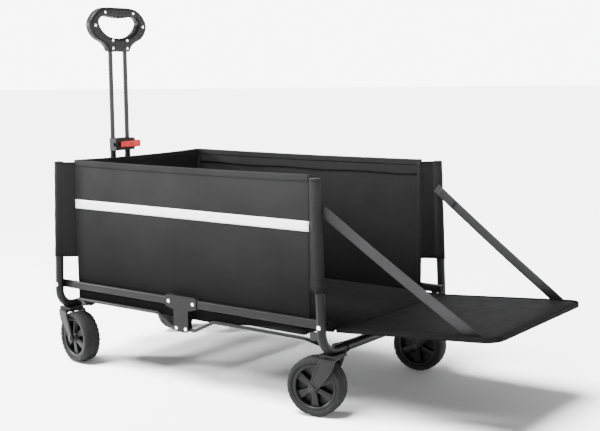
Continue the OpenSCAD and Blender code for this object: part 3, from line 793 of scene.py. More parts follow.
def end_wall():
    """The wall at the handle's end."""
    half = BAG_Y - 3.6 * MM
    across = np.linspace(-half, half, 81)
    up = np.linspace(0, 1, 49)
    y = across[:, None]
    low, high = BASE_Z - 2 * MM, RIM_Z - 1.5 * MM - 4 * MM * (1 - (y / half) ** 2)
    z = low + (high - low) * up
    x = MID_X - BAG_END + 1.6 * MM - 1.5 * wall_swell(across[:, None] + 0.3, z)
    wall = sewn("bag_wall_front", shell(spots(x, y, z), WALL_T), "front_frame")
    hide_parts("end_panel")


def tape_section(drop):
    """A tape folded over the rim, with a full top edge."""
    outside = [(2.5, -drop / MM), (2.9, -drop / MM * 0.7), (2.7, -4.0), (3.3, -1.5),
               (2.7, 0.6), (1.2, 1.8)]
    return np.array(outside + [(-x, z) for x, z in outside[::-1]]) * MM


def binding_path(side):
    """Where the tape over a side wall's top edge runs."""
    along = np.linspace(-BAG_END + 2 * MM, BAG_END - 1 * MM, 91)
    x = MID_X + along
    return spots(x, SIDES[side] * (BAG_Y - 0.6 * MM - WALL_T / 2), rim_height(x))


def bind_rim():
    """Tape over the top edges of the side walls and the end wall."""
    drop = sizes("wagon_cloth").binding
    lines = []
    for side in SIDES:
        path = binding_path(side)
        sewn(f"rim_tape_{side}", sweep(path, tape_section(drop), up=(0, 0, 1)))
        for face in (-1, 1):
            lines.append(path + [0, face * 3.2 * MM, 2.5 * MM - drop])
    crumple(stitches("rim_stitches", lines, "webbing"))
    half = BAG_Y - 6 * MM
    y = np.linspace(-half, half, 61)
    path = spots(MID_X - BAG_END + 1.6 * MM, y,
                 RIM_Z - 1.5 * MM - 4 * MM * (1 - (y / half) ** 2))
    sewn("rim_tape_front", sweep(path, tape_section(drop), up=(0, 0, 1)), "front_frame")
    stitches("rim_stitches_front",
             [path + [face * 3.2 * MM, 0, 2.5 * MM - drop] for face in (-1, 1)],
             "webbing", "front_frame")


def strip_walls():
    """Reflective strips on both side walls."""
    low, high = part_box("reflective_strips")
    for side, sign in SIDES.items():
        along = np.linspace(-BAG_END + 2 * MM, BAG_END - 2 * MM, 91)
        x = MID_X + along[:, None]
        z = np.linspace(low.z, high.z, 5)
        y = sign * (BAG_Y + 0.2 * MM + wall_swell(along[:, None], z))
        strip = piece(f"reflective_strip_{side}", *shell(spots(x, y, z), 0.6 * MM),
                      "reflective_tape")
        crumple(strip)
        if side == "near":
            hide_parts("reflective_strips")


# ---- Sleeves ----


def sleeve_section(end, z, ease):
    """The closed loop of a sleeve at one height: round the post and in to the bag's
    corner, for the far side of the wagon."""
    radius = TUBE_R + 1.6 * MM + ease
    post = np.array([post_x(end, z), POST_Y])
    way = ENDS[end]
    corner = np.array([MID_X + way * (BAG_END - 1.5 * MM), BAG_Y + 0.3 * MM])
    turn = np.radians(np.linspace(68, 330, 25))
    round_post = post + radius * np.stack([-way * np.cos(turn), np.sin(turn)], 1)
    outer, inner = round_post[0], round_post[-1]
    share = np.linspace(0, 1, 8)[:, None]
    bow = np.sin(math.pi * share)
    first = corner + (outer - corner) * share + [0, 1] * bow * 1.5 * MM
    last = inner + (corner + [0, -2.4 * MM] - inner) * share + [0, 1] * bow * 2 * MM
    return np.concatenate([first[:-1], round_post, last[1:]])


def sleeve(end, side):
    """One sleeve round a post. It gives back its grid of points for the trim."""
    low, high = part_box(f"{end}_sleeves")
    heights = np.linspace(low.z, high.z - 1 * MM, 41)
    rows = []
    for z in heights:
        share = (z - low.z) / (high.z - low.z)
        ease = 0.5 * MM * (math.sin(share * 23 + 1) * math.sin(share * 9) + share ** 12)
        loop = sleeve_section(end, z, max(ease, -0.3 * MM))
        rows.append(np.concatenate([loop, np.full((len(loop), 1), z)], 1))
    grid = np.array(rows)
    grid[..., 1] *= SIDES[side]
    index = np.arange(grid.shape[0] * grid.shape[1]).reshape(grid.shape[:2])
    index = np.concatenate([index, index[:, :1]], 1)
    tube = piece(f"sleeve_{end}_{side}", grid.reshape(-1, 3), quads(index), "bag_fabric")
    settle(tube, ("SOLIDIFY", {"thickness": 1.2 * MM, "offset": -1.0}))
    turn_out(tube.data)
    lay_threads(tube)
    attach(tube, f"{end}_frame")
    if side == "near":
        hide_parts(f"{end}_sleeves")
    return grid


def sew_sleeves():
    """The four sleeves, their welts and their stitches."""
    for end in ENDS:
        hems, lines = [], []
        for side, sign in SIDES.items():
            grid = sleeve(end, side)
            for row in (-1, 0):
                hems.append(sweep(grid[row], disc(1.5 * MM, 8), closed=True))
            corner = grid[:, 0]
            hems.append(sweep(corner + [ENDS[end] * 1.5 * MM, 0, 0], disc(1.5 * MM, 8)))
            lines.append(grid[1:-1, 2] + [0, sign * 0.7 * MM, 0])
            lines.append(grid[2, :-6] + [0, 0, 4 * MM])
        sewn(f"sleeve_welts_{end}", several(hems), f"{end}_frame")
        stitches(f"sleeve_stitches_{end}", lines, "webbing", f"{end}_frame")


# ---- Floor ----


def floor_panel(end):
    """A cloth-covered board with rounded edges."""
    node = f"floor_board_{end}"
    low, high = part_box(node)
    size, centre = high - low, (low + high) / 2
    count, roll = 61, 5 * MM
    x = np.linspace(-0.5, 0.5, count)[:, None] * size.x
    y = np.linspace(-0.5, 0.5, count) * size.y
    edge = np.minimum(size.x / 2 - abs(x), size.y / 2 - abs(y))
    near_edge = np.clip(edge / roll, 0, 1)
    full = np.sqrt(1 - (1 - near_edge) ** 2 * 0.9)
    grid = spots(x + centre.x, y + centre.y, centre.z)
    panel = sewn(f"floor_panel_{end}", shell(grid, size.z * full), f"{end}_rails",
                 "floor_cloth")
    by_angle(panel, 60)
    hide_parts(node)
    inset = 9 * MM
    corners = [(low.x + inset, low.y + inset), (high.x - inset, low.y + inset),
               (high.x - inset, high.y - inset), (low.x + inset, high.y - inset),
               (low.x + inset, low.y + inset)]
    stitches(f"floor_stitches_{end}",
             [[(*a, high.z), (*b, high.z)] for a, b in zip(corners, corners[1:])],
             "webbing", f"{end}_rails", 0.45 * MM)


def base_cloth(end):
    """The bag's cloth under a floor board, which sags between its turned-up edges."""
    node = f"base_cover_{end}"
    low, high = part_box(node)
    size, centre = high - low, (low + high) / 2
    u = np.linspace(-1, 1, 61)[:, None]
    v = np.linspace(-1, 1, 61)[None]
    edge = np.minimum(1 - abs(u), (1 - abs(v)) * size.y / size.x)
    lift = (1 - smoothstep(edge / 0.10)) * (size.z - 3 * MM)
    wave = 1.2 * MM * (np.sin(6 * u + 2) * np.sin(5 * v * 1.3) + 1) * smoothstep(edge / 0.2)
    z = low.z + 1 * MM + lift + wave
    grid = spots(centre.x + size.x / 2 * u, centre.y + size.y / 2 * v, z)
    cloth = sewn(f"base_cloth_{end}", shell(grid, 1.4 * MM), f"{end}_rails", "base_fabric")
    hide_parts(node)


# ---- Tailgate ----

GATE_FRAME = (Matrix.Translation((GATE_X, 0, GATE_Z))
              @ Matrix.Rotation(-GATE_RISE, 4, "Y"))


def gate_outline(inset):
    """The tailgate's outline from above, round at its outer corners."""
    steps = 8
    radius = 45 * MM - inset
    half, far = GATE_W / 2 - inset, GATE_L - inset
    turn = [math.pi / 2 * i / steps for i in range(steps + 1)]
    right = [(far - radius + radius * math.sin(t), -half + radius - radius * math.cos(t))
             for t in turn]
    return [(inset, -half)] + right + [(x, -y) for x, y in right[::-1]] + [(inset, half)]


def gate_lines(inset, height):
    """The outline at a height above the tailgate's top face, with evenly close points."""
    line = gate_outline(inset)
    dense = []
    for a, b in zip(line, line[1:] + line[:1]):
        count = max(1, int(math.dist(a, b) / (12 * MM)))
        dense += [(a[0] + (b[0] - a[0]) * i / count, a[1] + (b[1] - a[1]) * i / count)
                  for i in range(count)]
    flat = np.array([(x, y, height) for x, y in dense])
    return moved(flat, GATE_FRAME)


def stuffed(made, cap, frames=20, voxel=6 * MM, pressure=4.0):
    """Inflates a pad as cloth, and keeps every point within a cap of where it began."""
    settle(made, ("REMESH", {"mode": "VOXEL", "voxel_size": voxel}))
    before = np.array([v.co for v in made.data.vertices])
    puff = made.modifiers.new("Puff", "CLOTH")
    puff.settings.use_pressure = True
    puff.settings.uniform_pressure_force = pressure
    puff.settings.effector_weights.gravity = 0.0
    puff.settings.quality = 4
    puff.point_cache.frame_start, puff.point_cache.frame_end = 1, frames
    for number in range(1, frames + 1):
        bpy.context.scene.frame_set(number)
    settle(made)
    bpy.context.scene.frame_set(1)
    after = np.array([v.co for v in made.data.vertices])
    step = after - before
    far = np.linalg.norm(step, axis=1, keepdims=True)
    held = before + step * np.minimum(1, cap / np.maximum(far, 1e-9))
    made.data.vertices.foreach_set("co", held.ravel())
    settle(made, ("SMOOTH", {"factor": 0.5, "iterations": 4}))
    made.data.polygons.foreach_set("use_smooth", [True] * len(made.data.polygons))
    return made


def gate_pad():
    """The tailgate's padded cover, stuffed round its board."""
    outline = gate_outline(4 * MM)
    low, high = -GATE_T + 2.6 * MM, -2.6 * MM
    count = len(outline)
    points = [(x, y, low) for x, y in outline] + [(x, y, high) for x, y in outline]
    faces = [list(range(count)), list(range(count, 2 * count))]
    faces += [[i, (i + 1) % count, (i + 1) % count + count, i + count] for i in range(count)]
    pad = piece("tailgate_pad", moved(points, GATE_FRAME), faces, "bag_fabric")
    stuffed(pad, 2.2 * MM)
    lay_threads(pad)
    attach(pad, "tailgate")
    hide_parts("tailgate_cover", "tailgate_board")


def gate_trim():
    """Piping round both faces of the pad, and the tape between them."""
    cords = [sweep(gate_lines(3 * MM, z), disc(1.7 * MM, 10), closed=True)
             for z in (-2.0 * MM, 2.0 * MM - GATE_T)]
    sewn("tailgate_piping", several(cords), "tailgate")
    band = sweep(gate_lines(2.2 * MM, -GATE_T / 2), rounded_box(1.2 * MM, 8.5 * MM, 0.5 * MM),
                 up=tuple(GATE_FRAME.to_3x3() @ Vector((0, 0, 1))), closed=True)
    sewn("tailgate_edge_tape", band, "tailgate", "base_fabric")
    seam = gate_lines(11 * MM, -1.0 * MM)
    stitches("tailgate_stitches", [seam], "webbing", "tailgate", 0.45 * MM)


def gate_flap():
    """The cloth that joins the floor to the tailgate, bent at the tailgate's edge to its slope."""
    half = GATE_W / 2 - 4 * MM
    x0, x1 = GATE_X - 16 * MM, GATE_X + 26 * MM
    u = np.linspace(0, 1, 21)[:, None]
    v = np.linspace(-half, half, 41)[None]
    x = x0 + (x1 - x0) * u
    beyond = np.maximum(x - GATE_X, 0)
    z = FLOOR_Z + 1.0 * MM + beyond * math.tan(GATE_RISE) + 0.4 * MM * np.sin(v * 31)
    flap = piece("tailgate_flap", *shell(spots(x, v, z), 1.2 * MM), "bag_fabric")
    lay_threads(flap)
    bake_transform(flap)


# ---- Straps ----


def strap_line(side):
    """The two ends of a strap's middle line, from its CAD solid."""
    points = np.array([v.co for v in frame["nodes"]["tailgate_straps"].data.vertices])
    points = points[points[:, 1] * SIDES[side] > 0]
    order = points[:, 0].argsort()
    top = points[order[: len(order) // 2]].mean(0)
    foot = points[order[len(order) // 2:]].mean(0)
    return top, foot


def cut_strap(points, around, way):
    """Cuts a strap's foot along the tailgate, just under the pad's top."""
    up = np.array(GATE_FRAME.to_3x3() @ Vector((0, 0, 1)))
    level = np.array(GATE_FRAME.translation) - 3.5 * MM * up
    foot = points[-around:]
    foot += np.outer((level - foot) @ up / (way @ up), way)
    return points


def straps():
    """The two webbing straps, doubled and box-stitched at the top."""
    width = STRAP_W
    for side, sign in SIDES.items():
        top, foot = strap_line(side)
        run = np.linalg.norm(foot - top)
        way = (foot - top) / run
        share = np.append(np.linspace(-0.035, 1 - 52 * MM / run, 66), 1.0)
        path = top + np.outer(share, foot - top)
        path[:, 2] -= 3 * MM * np.sin(math.pi * np.clip(share, 0, 1))
        across = np.cross(way, [0, sign, 0])
        across /= np.linalg.norm(across)
        section = rounded_box(2.0 * MM, width, 0.8 * MM, 2)
        points, faces = sweep(path, section, up=across)
        doubled = sweep(path[2:13] + [0, -sign * 1.9 * MM, 0],
                        rounded_box(1.8 * MM, width - 1 * MM, 0.8 * MM, 2), up=across)
        strap = piece(f"strap_{side}", *several([(cut_strap(points, len(section), way),
                                                  faces), doubled]), "webbing")
        lay_threads(strap)
        turn_threads(strap, way, across)
        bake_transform(strap)
        if side == "near":
            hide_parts("tailgate_straps")
        edge = across * width * 0.36
        box = [(path[a] + edge * m, path[b] + edge * n) for a, m, b, n in
               ((3, -1, 11, -1), (3, 1, 11, 1), (3, -1, 3, 1), (11, -1, 11, 1),
                (3, -1, 11, 1), (3, 1, 11, -1))]
        lines = [np.array(line) + [0, shift * sign, 0] for line in box
                 for shift in (1.1 * MM, -2.9 * MM)]
        sewn = stitches(f"strap_stitches_{side}", lines, "webbing")
        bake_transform(sewn)


def turn_threads(made, way, across):
    """Lays a strap's UV map along its own run."""
    mesh = made.data
    layer = mesh.uv_layers["cloth"]
    points = np.zeros(len(mesh.vertices) * 3)
    mesh.vertices.foreach_get("co", points)
    corners = np.zeros(len(mesh.loops), int)
    mesh.loops.foreach_get("vertex_index", corners)
    at = points.reshape(-1, 3)[corners]
    layer.data.foreach_set("uv", np.stack([at @ way, at @ across], 1).ravel())


# ---- Side frames' lower rods ----


def lower_rod(end, rise):
    """One bent rod: two legs with flattened eyes, and the cross rod."""
    way, rod = ENDS[end], sizes("wagon_metal").rod
    low_x, low_z = 476 * MM, PIVOT_Z - LOW_DROP
    high, knee = low_z + 33 * MM, low_x - 36 * MM
    cross_half = POST_Y - 75 * MM
    leg = [(LOW_IN + 6 * MM, RAIL_Y, low_z), (LOW_IN + 26 * MM, RAIL_Y, low_z - 3 * MM),
           (rise, RAIL_Y, high), (knee, RAIL_Y, high), (low_x, cross_half, low_z)]
    other = [(x, -y, z) for x, y, z in leg[::-1]]
    path = bent(leg + other, 15 * MM)
    path[:, 0] = MID_X + way * path[:, 0]
    parts = [sweep(path, disc(rod, 16))]
    eye = turned([(3.3 * MM, -4 * MM), (8.2 * MM, -4 * MM), (9 * MM, -3.2 * MM),
                  (9 * MM, 3.2 * MM), (8.2 * MM, 4 * MM), (3.3 * MM, 4 * MM)], 32)
    for sign in (-1, 1):
        centre = (MID_X + way * LOW_IN, sign * RAIL_Y, low_z)
        parts.append(placed(eye, Matrix.Translation(centre)))
    hard(f"lower_rod_{end}", several(parts), "frame_paint", f"{end}_lower_frame", 35,
         f"{end}_lower_frame")


def frame_stops():
    """Rubber stops under the rear rails and cloth tabs at the tailgate's corners."""
    stops, tabs = [], []
    for sign in (-1, 1):
        outline = rounded_box(28 * MM, 22 * MM, 4 * MM) + [MID_X + 471 * MM, 217 * MM]
        stops.append(prism(outline, sign * (RAIL_Y - 4 * MM), sign * (RAIL_Y + 5 * MM)))
        outline = rounded_box(20 * MM, 25 * MM, 4 * MM) + [MID_X + 505 * MM, 242 * MM]
        tabs.append(prism(outline, sign * 269 * MM, sign * 271 * MM))
    stop = soften(piece("rail_stops", *several(stops), "moulded_black"), 1.5 * MM)
    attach(stop, "rear_frame")
    tab = soften(piece("corner_tabs", *several(tabs), "bag_fabric"), 0.7 * MM)
    lay_threads(tab)
    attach(tab, "rear_frame")


# ---- Casters ----


def tyre_width():
    """The CAD tyre's extent along its axle."""
    pivot = Vector(JOINTS["swivel_rear_near"]["pos_m"])
    forward = Vector(JOINTS["spin_rear_near"]["pos_m"]) - pivot
    across = Vector((-forward.y, forward.x, 0)).normalized()
    reach = [v.co @ across for v in frame["nodes"]["tyre_rear_near"].data.vertices]
    return max(reach) - min(reach)


WHEEL_R = Vector(JOINTS["spin_rear_near"]["pos_m"]).z
TYRE_W = tyre_width()
TRAIL = 46 * MM
CROWN_TOP = 162 * MM
LEG_Y = TYRE_W / 2 + 2 * MM
LEG_T = 6 * MM


def caster_place(corner):
    """From a caster's own frame, +X from its swivel axis to its wheel, to the wagon's."""
    pivot = Vector(JOINTS[f"swivel_{corner}"]["pos_m"])
    axle = Vector(JOINTS[f"spin_{corner}"]["pos_m"])
    heading = math.atan2(axle.y - pivot.y, axle.x - pivot.x)
    return Matrix.Translation((pivot.x, pivot.y, 0)) @ Matrix.Rotation(heading, 4, "Z")


def leg_outline():
    """A fork leg's curved outline, from the crown down to the axle boss."""
    drop = np.linspace(0, 1, 15)
    top = CROWN_TOP / MM
    trail, wheel = TRAIL / MM, WHEEL_R / MM
    front = np.stack([-19 + (trail + 9) * drop ** 1.7, top - (top - wheel + 6) * drop], 1)
    back = np.stack([21 + (trail - 10) * (1 - drop) ** 0.8,
                     top - (top - wheel - 4) * (1 - drop)], 1)
    turn = np.radians(np.linspace(250, 380, 11))
    boss = np.stack([trail + 13 * np.cos(turn), wheel + 13 * np.sin(turn)], 1)
    return np.concatenate([front[:-1], boss, back[1:]]) * MM


def fork(corner, place):
    """A caster's fork, with ribs, axle rings and studs on its legs."""
    parts = []
    for sign in (-1, 1):
        low, high = sorted((sign * LEG_Y, sign * (LEG_Y + LEG_T)))
        parts.append(prism(leg_outline(), low, high))
    half = LEG_Y + LEG_T
    crown = rounded_box(40 * MM, 5 * MM, 1 * MM) + [1 * MM, CROWN_TOP - 2.6 * MM]
    parts.append(prism(crown, -half, half))
    body = piece(f"fork_body_{corner}", *placed(several(parts), place), "fork_plastic")
    soften(body, 1.6 * MM)
    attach(body, f"caster_{corner}")
    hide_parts(f"fork_{corner}")
    ribs = []
    for sign in (-1, 1):
        outline = leg_outline()
        line = spots(outline[:, 0], sign * (LEG_Y + LEG_T), outline[:, 1])
        centre = line.mean(0)
        inner = centre + (line - centre) * 0.86
        ribs.append(sweep(inner[1:-1], disc(1.5 * MM, 8)))
        ring = turned([(7 * MM, 0), (11 * MM, 0), (11 * MM, 1.6 * MM), (9.6 * MM, 2.6 * MM),
                       (7 * MM, 2.6 * MM)], 36)
        shift = Matrix.Translation((TRAIL, sign * (LEG_Y + LEG_T - 0.4 * MM), WHEEL_R))
        flip = Matrix.Scale(sign, 4, (0, 1, 0))
        ribs.append(placed(ring, shift @ flip))
        for x in (-10, 12):
            stud = turned([(0, 0), (3.2 * MM, 0), (3.2 * MM, 2 * MM), (2 * MM, 3 * MM),
                           (0, 3 * MM)], 20)
            up = Matrix.Translation((x * MM, sign * 22 * MM, CROWN_TOP - 9 * MM))
            ribs.append(placed(stud, up @ Matrix.Rotation(math.pi / 2, 4, "X")))
    hard(f"fork_ribs_{corner}", placed(several(ribs), place), "fork_plastic",
         f"caster_{corner}", 40)


def tyre_profile():
    """A closed section of the tyre: bead, sidewall step, shoulder and crown."""
    edge = TYRE_W / 2 / MM
    half = [(62, 0), (62, edge - 7), (63.5, edge - 3.5), (66, edge - 1.5), (69, edge - 0.4),
            (70.5, edge - 1.1), (72, edge - 0.8), (75, edge - 2.6), (77.2, edge - 6),
            (78.4, edge - 11), (78.9, edge - 17), (79, 0)]
    other = [(r, -a) for r, a in half[::-1]][1:-1]
    return np.array(half + other) * MM


def tyre(corner, place):
    """A tyre with five rows of lugs."""
    axle = place @ Matrix.Translation((TRAIL, 0, WHEEL_R))
    hard(f"tyre_body_{corner}", placed(turned(tyre_profile(), 96), axle), "tyre_rubber",
         f"wheel_{corner}", 50, f"tyre_{corner}")
    lug = sizes("wagon_moulding").lug
    places, turns = [], []
    count, edge = 30, TYRE_W / 2 / MM
    for row, (share, slant, top) in enumerate(((-0.80, 24, 76.6), (-0.42, -28, 79.1),
                                               (0, 24, 79.3), (0.42, -28, 79.1),
                                               (0.80, 24, 76.6))):
        radius, across = (top - 1.5) * MM, share * edge
        tilt = math.radians(-28 * share if abs(share) > 0.5 else 0)
        for i in range(count):
            angle = 2 * math.pi * (i + 0.5 * (row % 2)) / count
            places.append((radius * math.cos(angle), across * MM, radius * math.sin(angle)))
            radial = (Matrix.Rotation(-angle + math.pi / 2, 3, "Y")
                      @ Matrix.Rotation(tilt, 3, "X")
                      @ Matrix.Rotation(math.radians(slant), 3, "Z"))
            turns.append(tuple((axle.to_3x3() @ radial).to_euler()))
    grow(f"tread_{corner}", tree("lug"), moved(places, axle), [], "tyre_rubber",
         f"wheel_{corner}", turns, Length=13.5 * MM, Width=0.29 * edge * MM,
         Height=2 * (1.5 * MM + lug * 0.75))


def spoke(angle):
    """A wide spoke that flares into the rim's ring."""
    reach = np.linspace(12, 55.5, 9) * MM
    width = (15 + 11 * np.linspace(0, 1, 9) ** 1.6) * MM
    depth = np.linspace(TYRE_W / MM - 14, TYRE_W / MM - 24, 9) * MM
    sections = np.array([rounded_box(w, d, 2.5 * MM, 2) for w, d in zip(width, depth)])
    path = spots(reach, 0, 0)
    return placed(sweep(path, sections, up=(0, 1, 0)), Matrix.Rotation(angle, 4, "Y"))


def rim(corner, place):
    """A rim: ring, hub, web and six spokes."""
    axle = place @ Matrix.Translation((TRAIL, 0, WHEEL_R))
    bore, edge = 4.05 * MM, TYRE_W / 2
    side = edge - 5 * MM
    ring = turned([(53.5 * MM, -side + 2 * MM), (56 * MM, -side), (61.8 * MM, -side),
                   (61.8 * MM, side), (56 * MM, side), (53.5 * MM, side - 2 * MM),
                   (55 * MM, side - 6 * MM), (55 * MM, 6 * MM - side)], 72)
    hub = turned([(bore, -edge), (11 * MM, -edge), (13 * MM, 2 * MM - edge),
                  (16 * MM, 11 * MM - edge), (16 * MM, edge - 11 * MM),
                  (13 * MM, edge - 2 * MM), (11 * MM, edge), (bore, edge)], 48)
    web = turned([(10 * MM, -2.5 * MM), (57 * MM, -2.5 * MM), (57 * MM, 2.5 * MM),
                  (10 * MM, 2.5 * MM)], 72)
    parts = [ring, hub, web] + [spoke(2 * math.pi * (i + 0.5) / 6) for i in range(6)]
    hard(f"rim_body_{corner}", placed(several(parts), axle), "rim_plastic",
         f"wheel_{corner}", 35, f"rim_{corner}")


# ---- Handle ----


def grip_curve(kind):
    """The grip's outer outline, its opening, or the opening without finger bumps, as
    points (y, z) above the grip's foot at even turns round the opening's middle."""
    width, height = GRIP_HIGH.y - GRIP_LOW.y, GRIP_HIGH.z - GRIP_LOW.z
    middle_z, count = 0.565 * height, 144
    if kind == "outer":
        side, top = width / 2, height
        neck, shoulder = 50 * MM, 26 * MM
        knots = [(0, top), (50 * MM, top), (82 * MM, top - 5 * MM),
                 (108 * MM, top - 22 * MM), (side - 3 * MM, top - 45 * MM), (side, top - 60 * MM),
                 (side - 6 * MM, top - 80 * MM), (side - 24 * MM, top - 101 * MM),
                 (side - 50 * MM, shoulder + 6 * MM), (neck + 12 * MM, shoulder - 3 * MM),
                 (neck + 3 * MM, shoulder - 12 * MM), (neck, 8 * MM), (neck - 3 * MM, 1 * MM),
                 (neck - 8 * MM, 0), (0, 0)]
    else:
        half, low, high = width / 2 - 39 * MM, 0.30 * height, 0.80 * height
        knots = [(0, high - 4 * MM), (36 * MM, high - 3 * MM), (62 * MM, high),
                 (76 * MM, high - 3 * MM), (half, high - 17 * MM), (half - 2 * MM, high - 28 * MM),
                 (half - 15 * MM, low + 24 * MM), (half - 40 * MM, low + 7 * MM),
                 (20 * MM, low + 0.6 * MM), (0, low)]
    knots = np.array(knots)
    ring = np.concatenate([knots, (knots * [-1, 1])[::-1][1:-1]])
    ring = round_loop(ring)
    turns = np.arctan2(ring[:, 0], ring[:, 1] - middle_z)
    reach = np.hypot(ring[:, 0], ring[:, 1] - middle_z)
    order = turns.argsort()
    even = -math.pi + (np.arange(count) + 0.5) * 2 * math.pi / count
    far = np.interp(even, turns[order], reach[order], period=2 * math.pi)
    if kind == "opening":
        bump = np.clip(1 - abs(even) / 0.95, 0, 1) > 0
        across = far * np.sin(even)
        wave = 3.0 * MM * np.clip(np.cos(across / (17.5 * MM) * 2 * math.pi), -0.4, 1)
        far = far - np.where(bump & (abs(across) < 45 * MM), wave * smoothstep(
            (45 * MM - abs(across)) / (12 * MM)), 0)
    return np.stack([far * np.sin(even), middle_z + far * np.cos(even)], 1)


def round_loop(ring):
    """Rounds a loop of points by cutting its corners three times."""
    for _ in range(3):
        after = np.roll(ring, -1, 0)
        ring = np.stack([0.75 * ring + 0.25 * after, 0.25 * ring + 0.75 * after], 1)
        ring = ring.reshape(-1, 2)
    return ring


def grip_half(name, node, way):
    """Half of the D grip, rounded over at its outer edge and at the opening."""
    outer, opening = grip_curve("outer"), grip_curve("opening")
    plain_opening = grip_curve("plain")
    half_t = (GRIP_HIGH.x - GRIP_LOW.x)
    round_by = sizes("wagon_moulding").rounding
    rows = []
    away = plain_opening - outer
    gap = np.linalg.norm(away, axis=1, keepdims=True)
    inward = away / gap
    reach = np.minimum(round_by, gap * 0.46)
    for turn in np.radians([0, 12, 30, 50, 70, 90]):
        rows.append((outer + inward * reach * (1 - math.cos(turn)),
                     half_t - round_by * (1 - math.sin(turn))))
    for share in (0.35, 0.5, 0.65):
        rows.append((outer + away * share, half_t + 0.6 * MM * math.sin(share * math.pi)))
    for turn in np.radians([90, 70, 50, 30, 12, 0]):
        inner = plain_opening + (opening - plain_opening) * math.cos(turn)
        rows.append((inner - inward * reach * (1 - math.cos(turn)),
                     half_t - round_by * (1 - math.sin(turn))))
    rows.append((opening, 0.25 * MM))
    rows.insert(0, (outer, 0.25 * MM))
    grid = np.array([np.concatenate([np.full((len(line), 1), min(depth, half_t) * way), line], 1)
                     for line, depth in rows])
    index = np.arange(grid.shape[0] * grid.shape[1]).reshape(grid.shape[:2])
    index = np.concatenate([index, index[:, :1]], 1)
    index = np.concatenate([index, index[:1]], 0)
    points = grid.reshape(-1, 3) + [HANDLE_X, 0, GRIP_LOW.z]
    hard(name, (points, quads(index)), "moulded_black", "grip", 50, node)


def latch_ribs():
    """Two ribs round the latch bracket."""
    low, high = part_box("latch_bracket")
    centre, size = (low + high) / 2, high - low
    ribs = []
    for z in (low.z + 2 * MM, high.z - 2 * MM):
        loop = rounded_box(size.x - 4 * MM, size.y - 4 * MM, 9 * MM, 5)
        ring = spots(loop[:, 0] + centre.x, loop[:, 1] + centre.y, z)
        ribs.append(sweep(ring, disc(2.2 * MM, 10), closed=True))
    hard("latch_ribs", several(ribs), "moulded_black", "handle", 50)


# ---- Rivets and screws ----


def heads(name, body, places, facing, radius, height, replaced):
    """Rivet or screw heads at places, each facing its own way, in place of a CAD node."""
    turns = [tuple(Vector(way).to_track_quat("Z", "Y").to_euler()) for way in facing]
    made = grow(name, tree("rivet"), places, [], "bright_rivet", body, turns,
                Radius=radius, Height=height)
    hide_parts(replaced)


def post_rivets(end):
    """Heads on the outer sides of an end frame's posts."""
    x, out = MID_X + ENDS[end] * POST_X, POST_Y + TUBE_R - 0.3 * MM
    facing = [(0, sign, 0) for sign in (-1, 1)]
    heads(f"post_rivet_heads_{end}", f"{end}_frame", [(x, y * out, PIVOT_Z) for _, y, _ in facing],
          facing, 6.0 * MM, 2.4 * MM, f"{end}_rivets")


def plate_rivets():
    """Heads of the rail pivots and the lower frames' pivots on the centre plates."""
    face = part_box("hinge_plates_far")[1].y - 0.1 * MM
    places = [(MID_X + way * x, sign * face, PIVOT_Z + z)
              for sign in (-1, 1) for x, z in ((PIVOT_IN, 0), (LOW_IN, -LOW_DROP)) for way in (-1, 1)]
    facing = [(0, math.copysign(1, y), 0) for _, y, _ in places]
    heads("plate_rivet_heads", "centre_plates", places, facing, 5.2 * MM, 2.2 * MM,
          "centre_rivets")


def grip_screws():
    """Heads of the screws that hold the grip's halves together."""
    width, height = GRIP_HIGH.y - GRIP_LOW.y, GRIP_HIGH.z - GRIP_LOW.z
    rows = ((0.245, height - 17 * MM), (0.415, 0.58 * height), (0.125, 37 * MM),
            (0.125, 11 * MM))
    places = [(GRIP_HIGH.x - 0.4 * MM, sign * y * width, GRIP_LOW.z + z)
              for y, z in rows for sign in (-1, 1)]
    heads("grip_screw_heads", "grip", places, [(1, 0, 0)] * len(places), 4.4 * MM, 1.5 * MM,
          "grip_screws")


# ---- Stage ----


def stand_camera():
    """The camera, at a three-quarter view from the tailgate's near corner."""
    yaw, pitch, roll = (math.radians(a) for a in (36.8587, 7.6604, -0.4599))
    data = bpy.data.cameras.new("Camera")
    data.sensor_width, data.lens = 36.0, 64.23
    data.clip_start, data.clip_end = 0.05, 60.0
    camera = bpy.data.objects.new("Camera", data)
    camera.matrix_world = (Matrix.Translation((1.86962, -2.50152, 0.90384))
                           @ Matrix.Rotation(yaw, 4, "Z")
                           @ Matrix.Rotation(math.pi / 2 - pitch, 4, "X")
                           @ Matrix.Rotation(roll, 4, "Z"))
    bpy.context.scene.collection.objects.link(camera)
    bpy.context.scene.camera = camera


def light(name, kind, energy, matrix):
    """A light of the given kind, placed and turned by a matrix."""
    data = bpy.data.lights.new(name, kind)
    data.energy = energy
    made = bpy.data.objects.new(name, data)
    made.matrix_world = matrix
    bpy.context.scene.collection.objects.link(made)
    return data


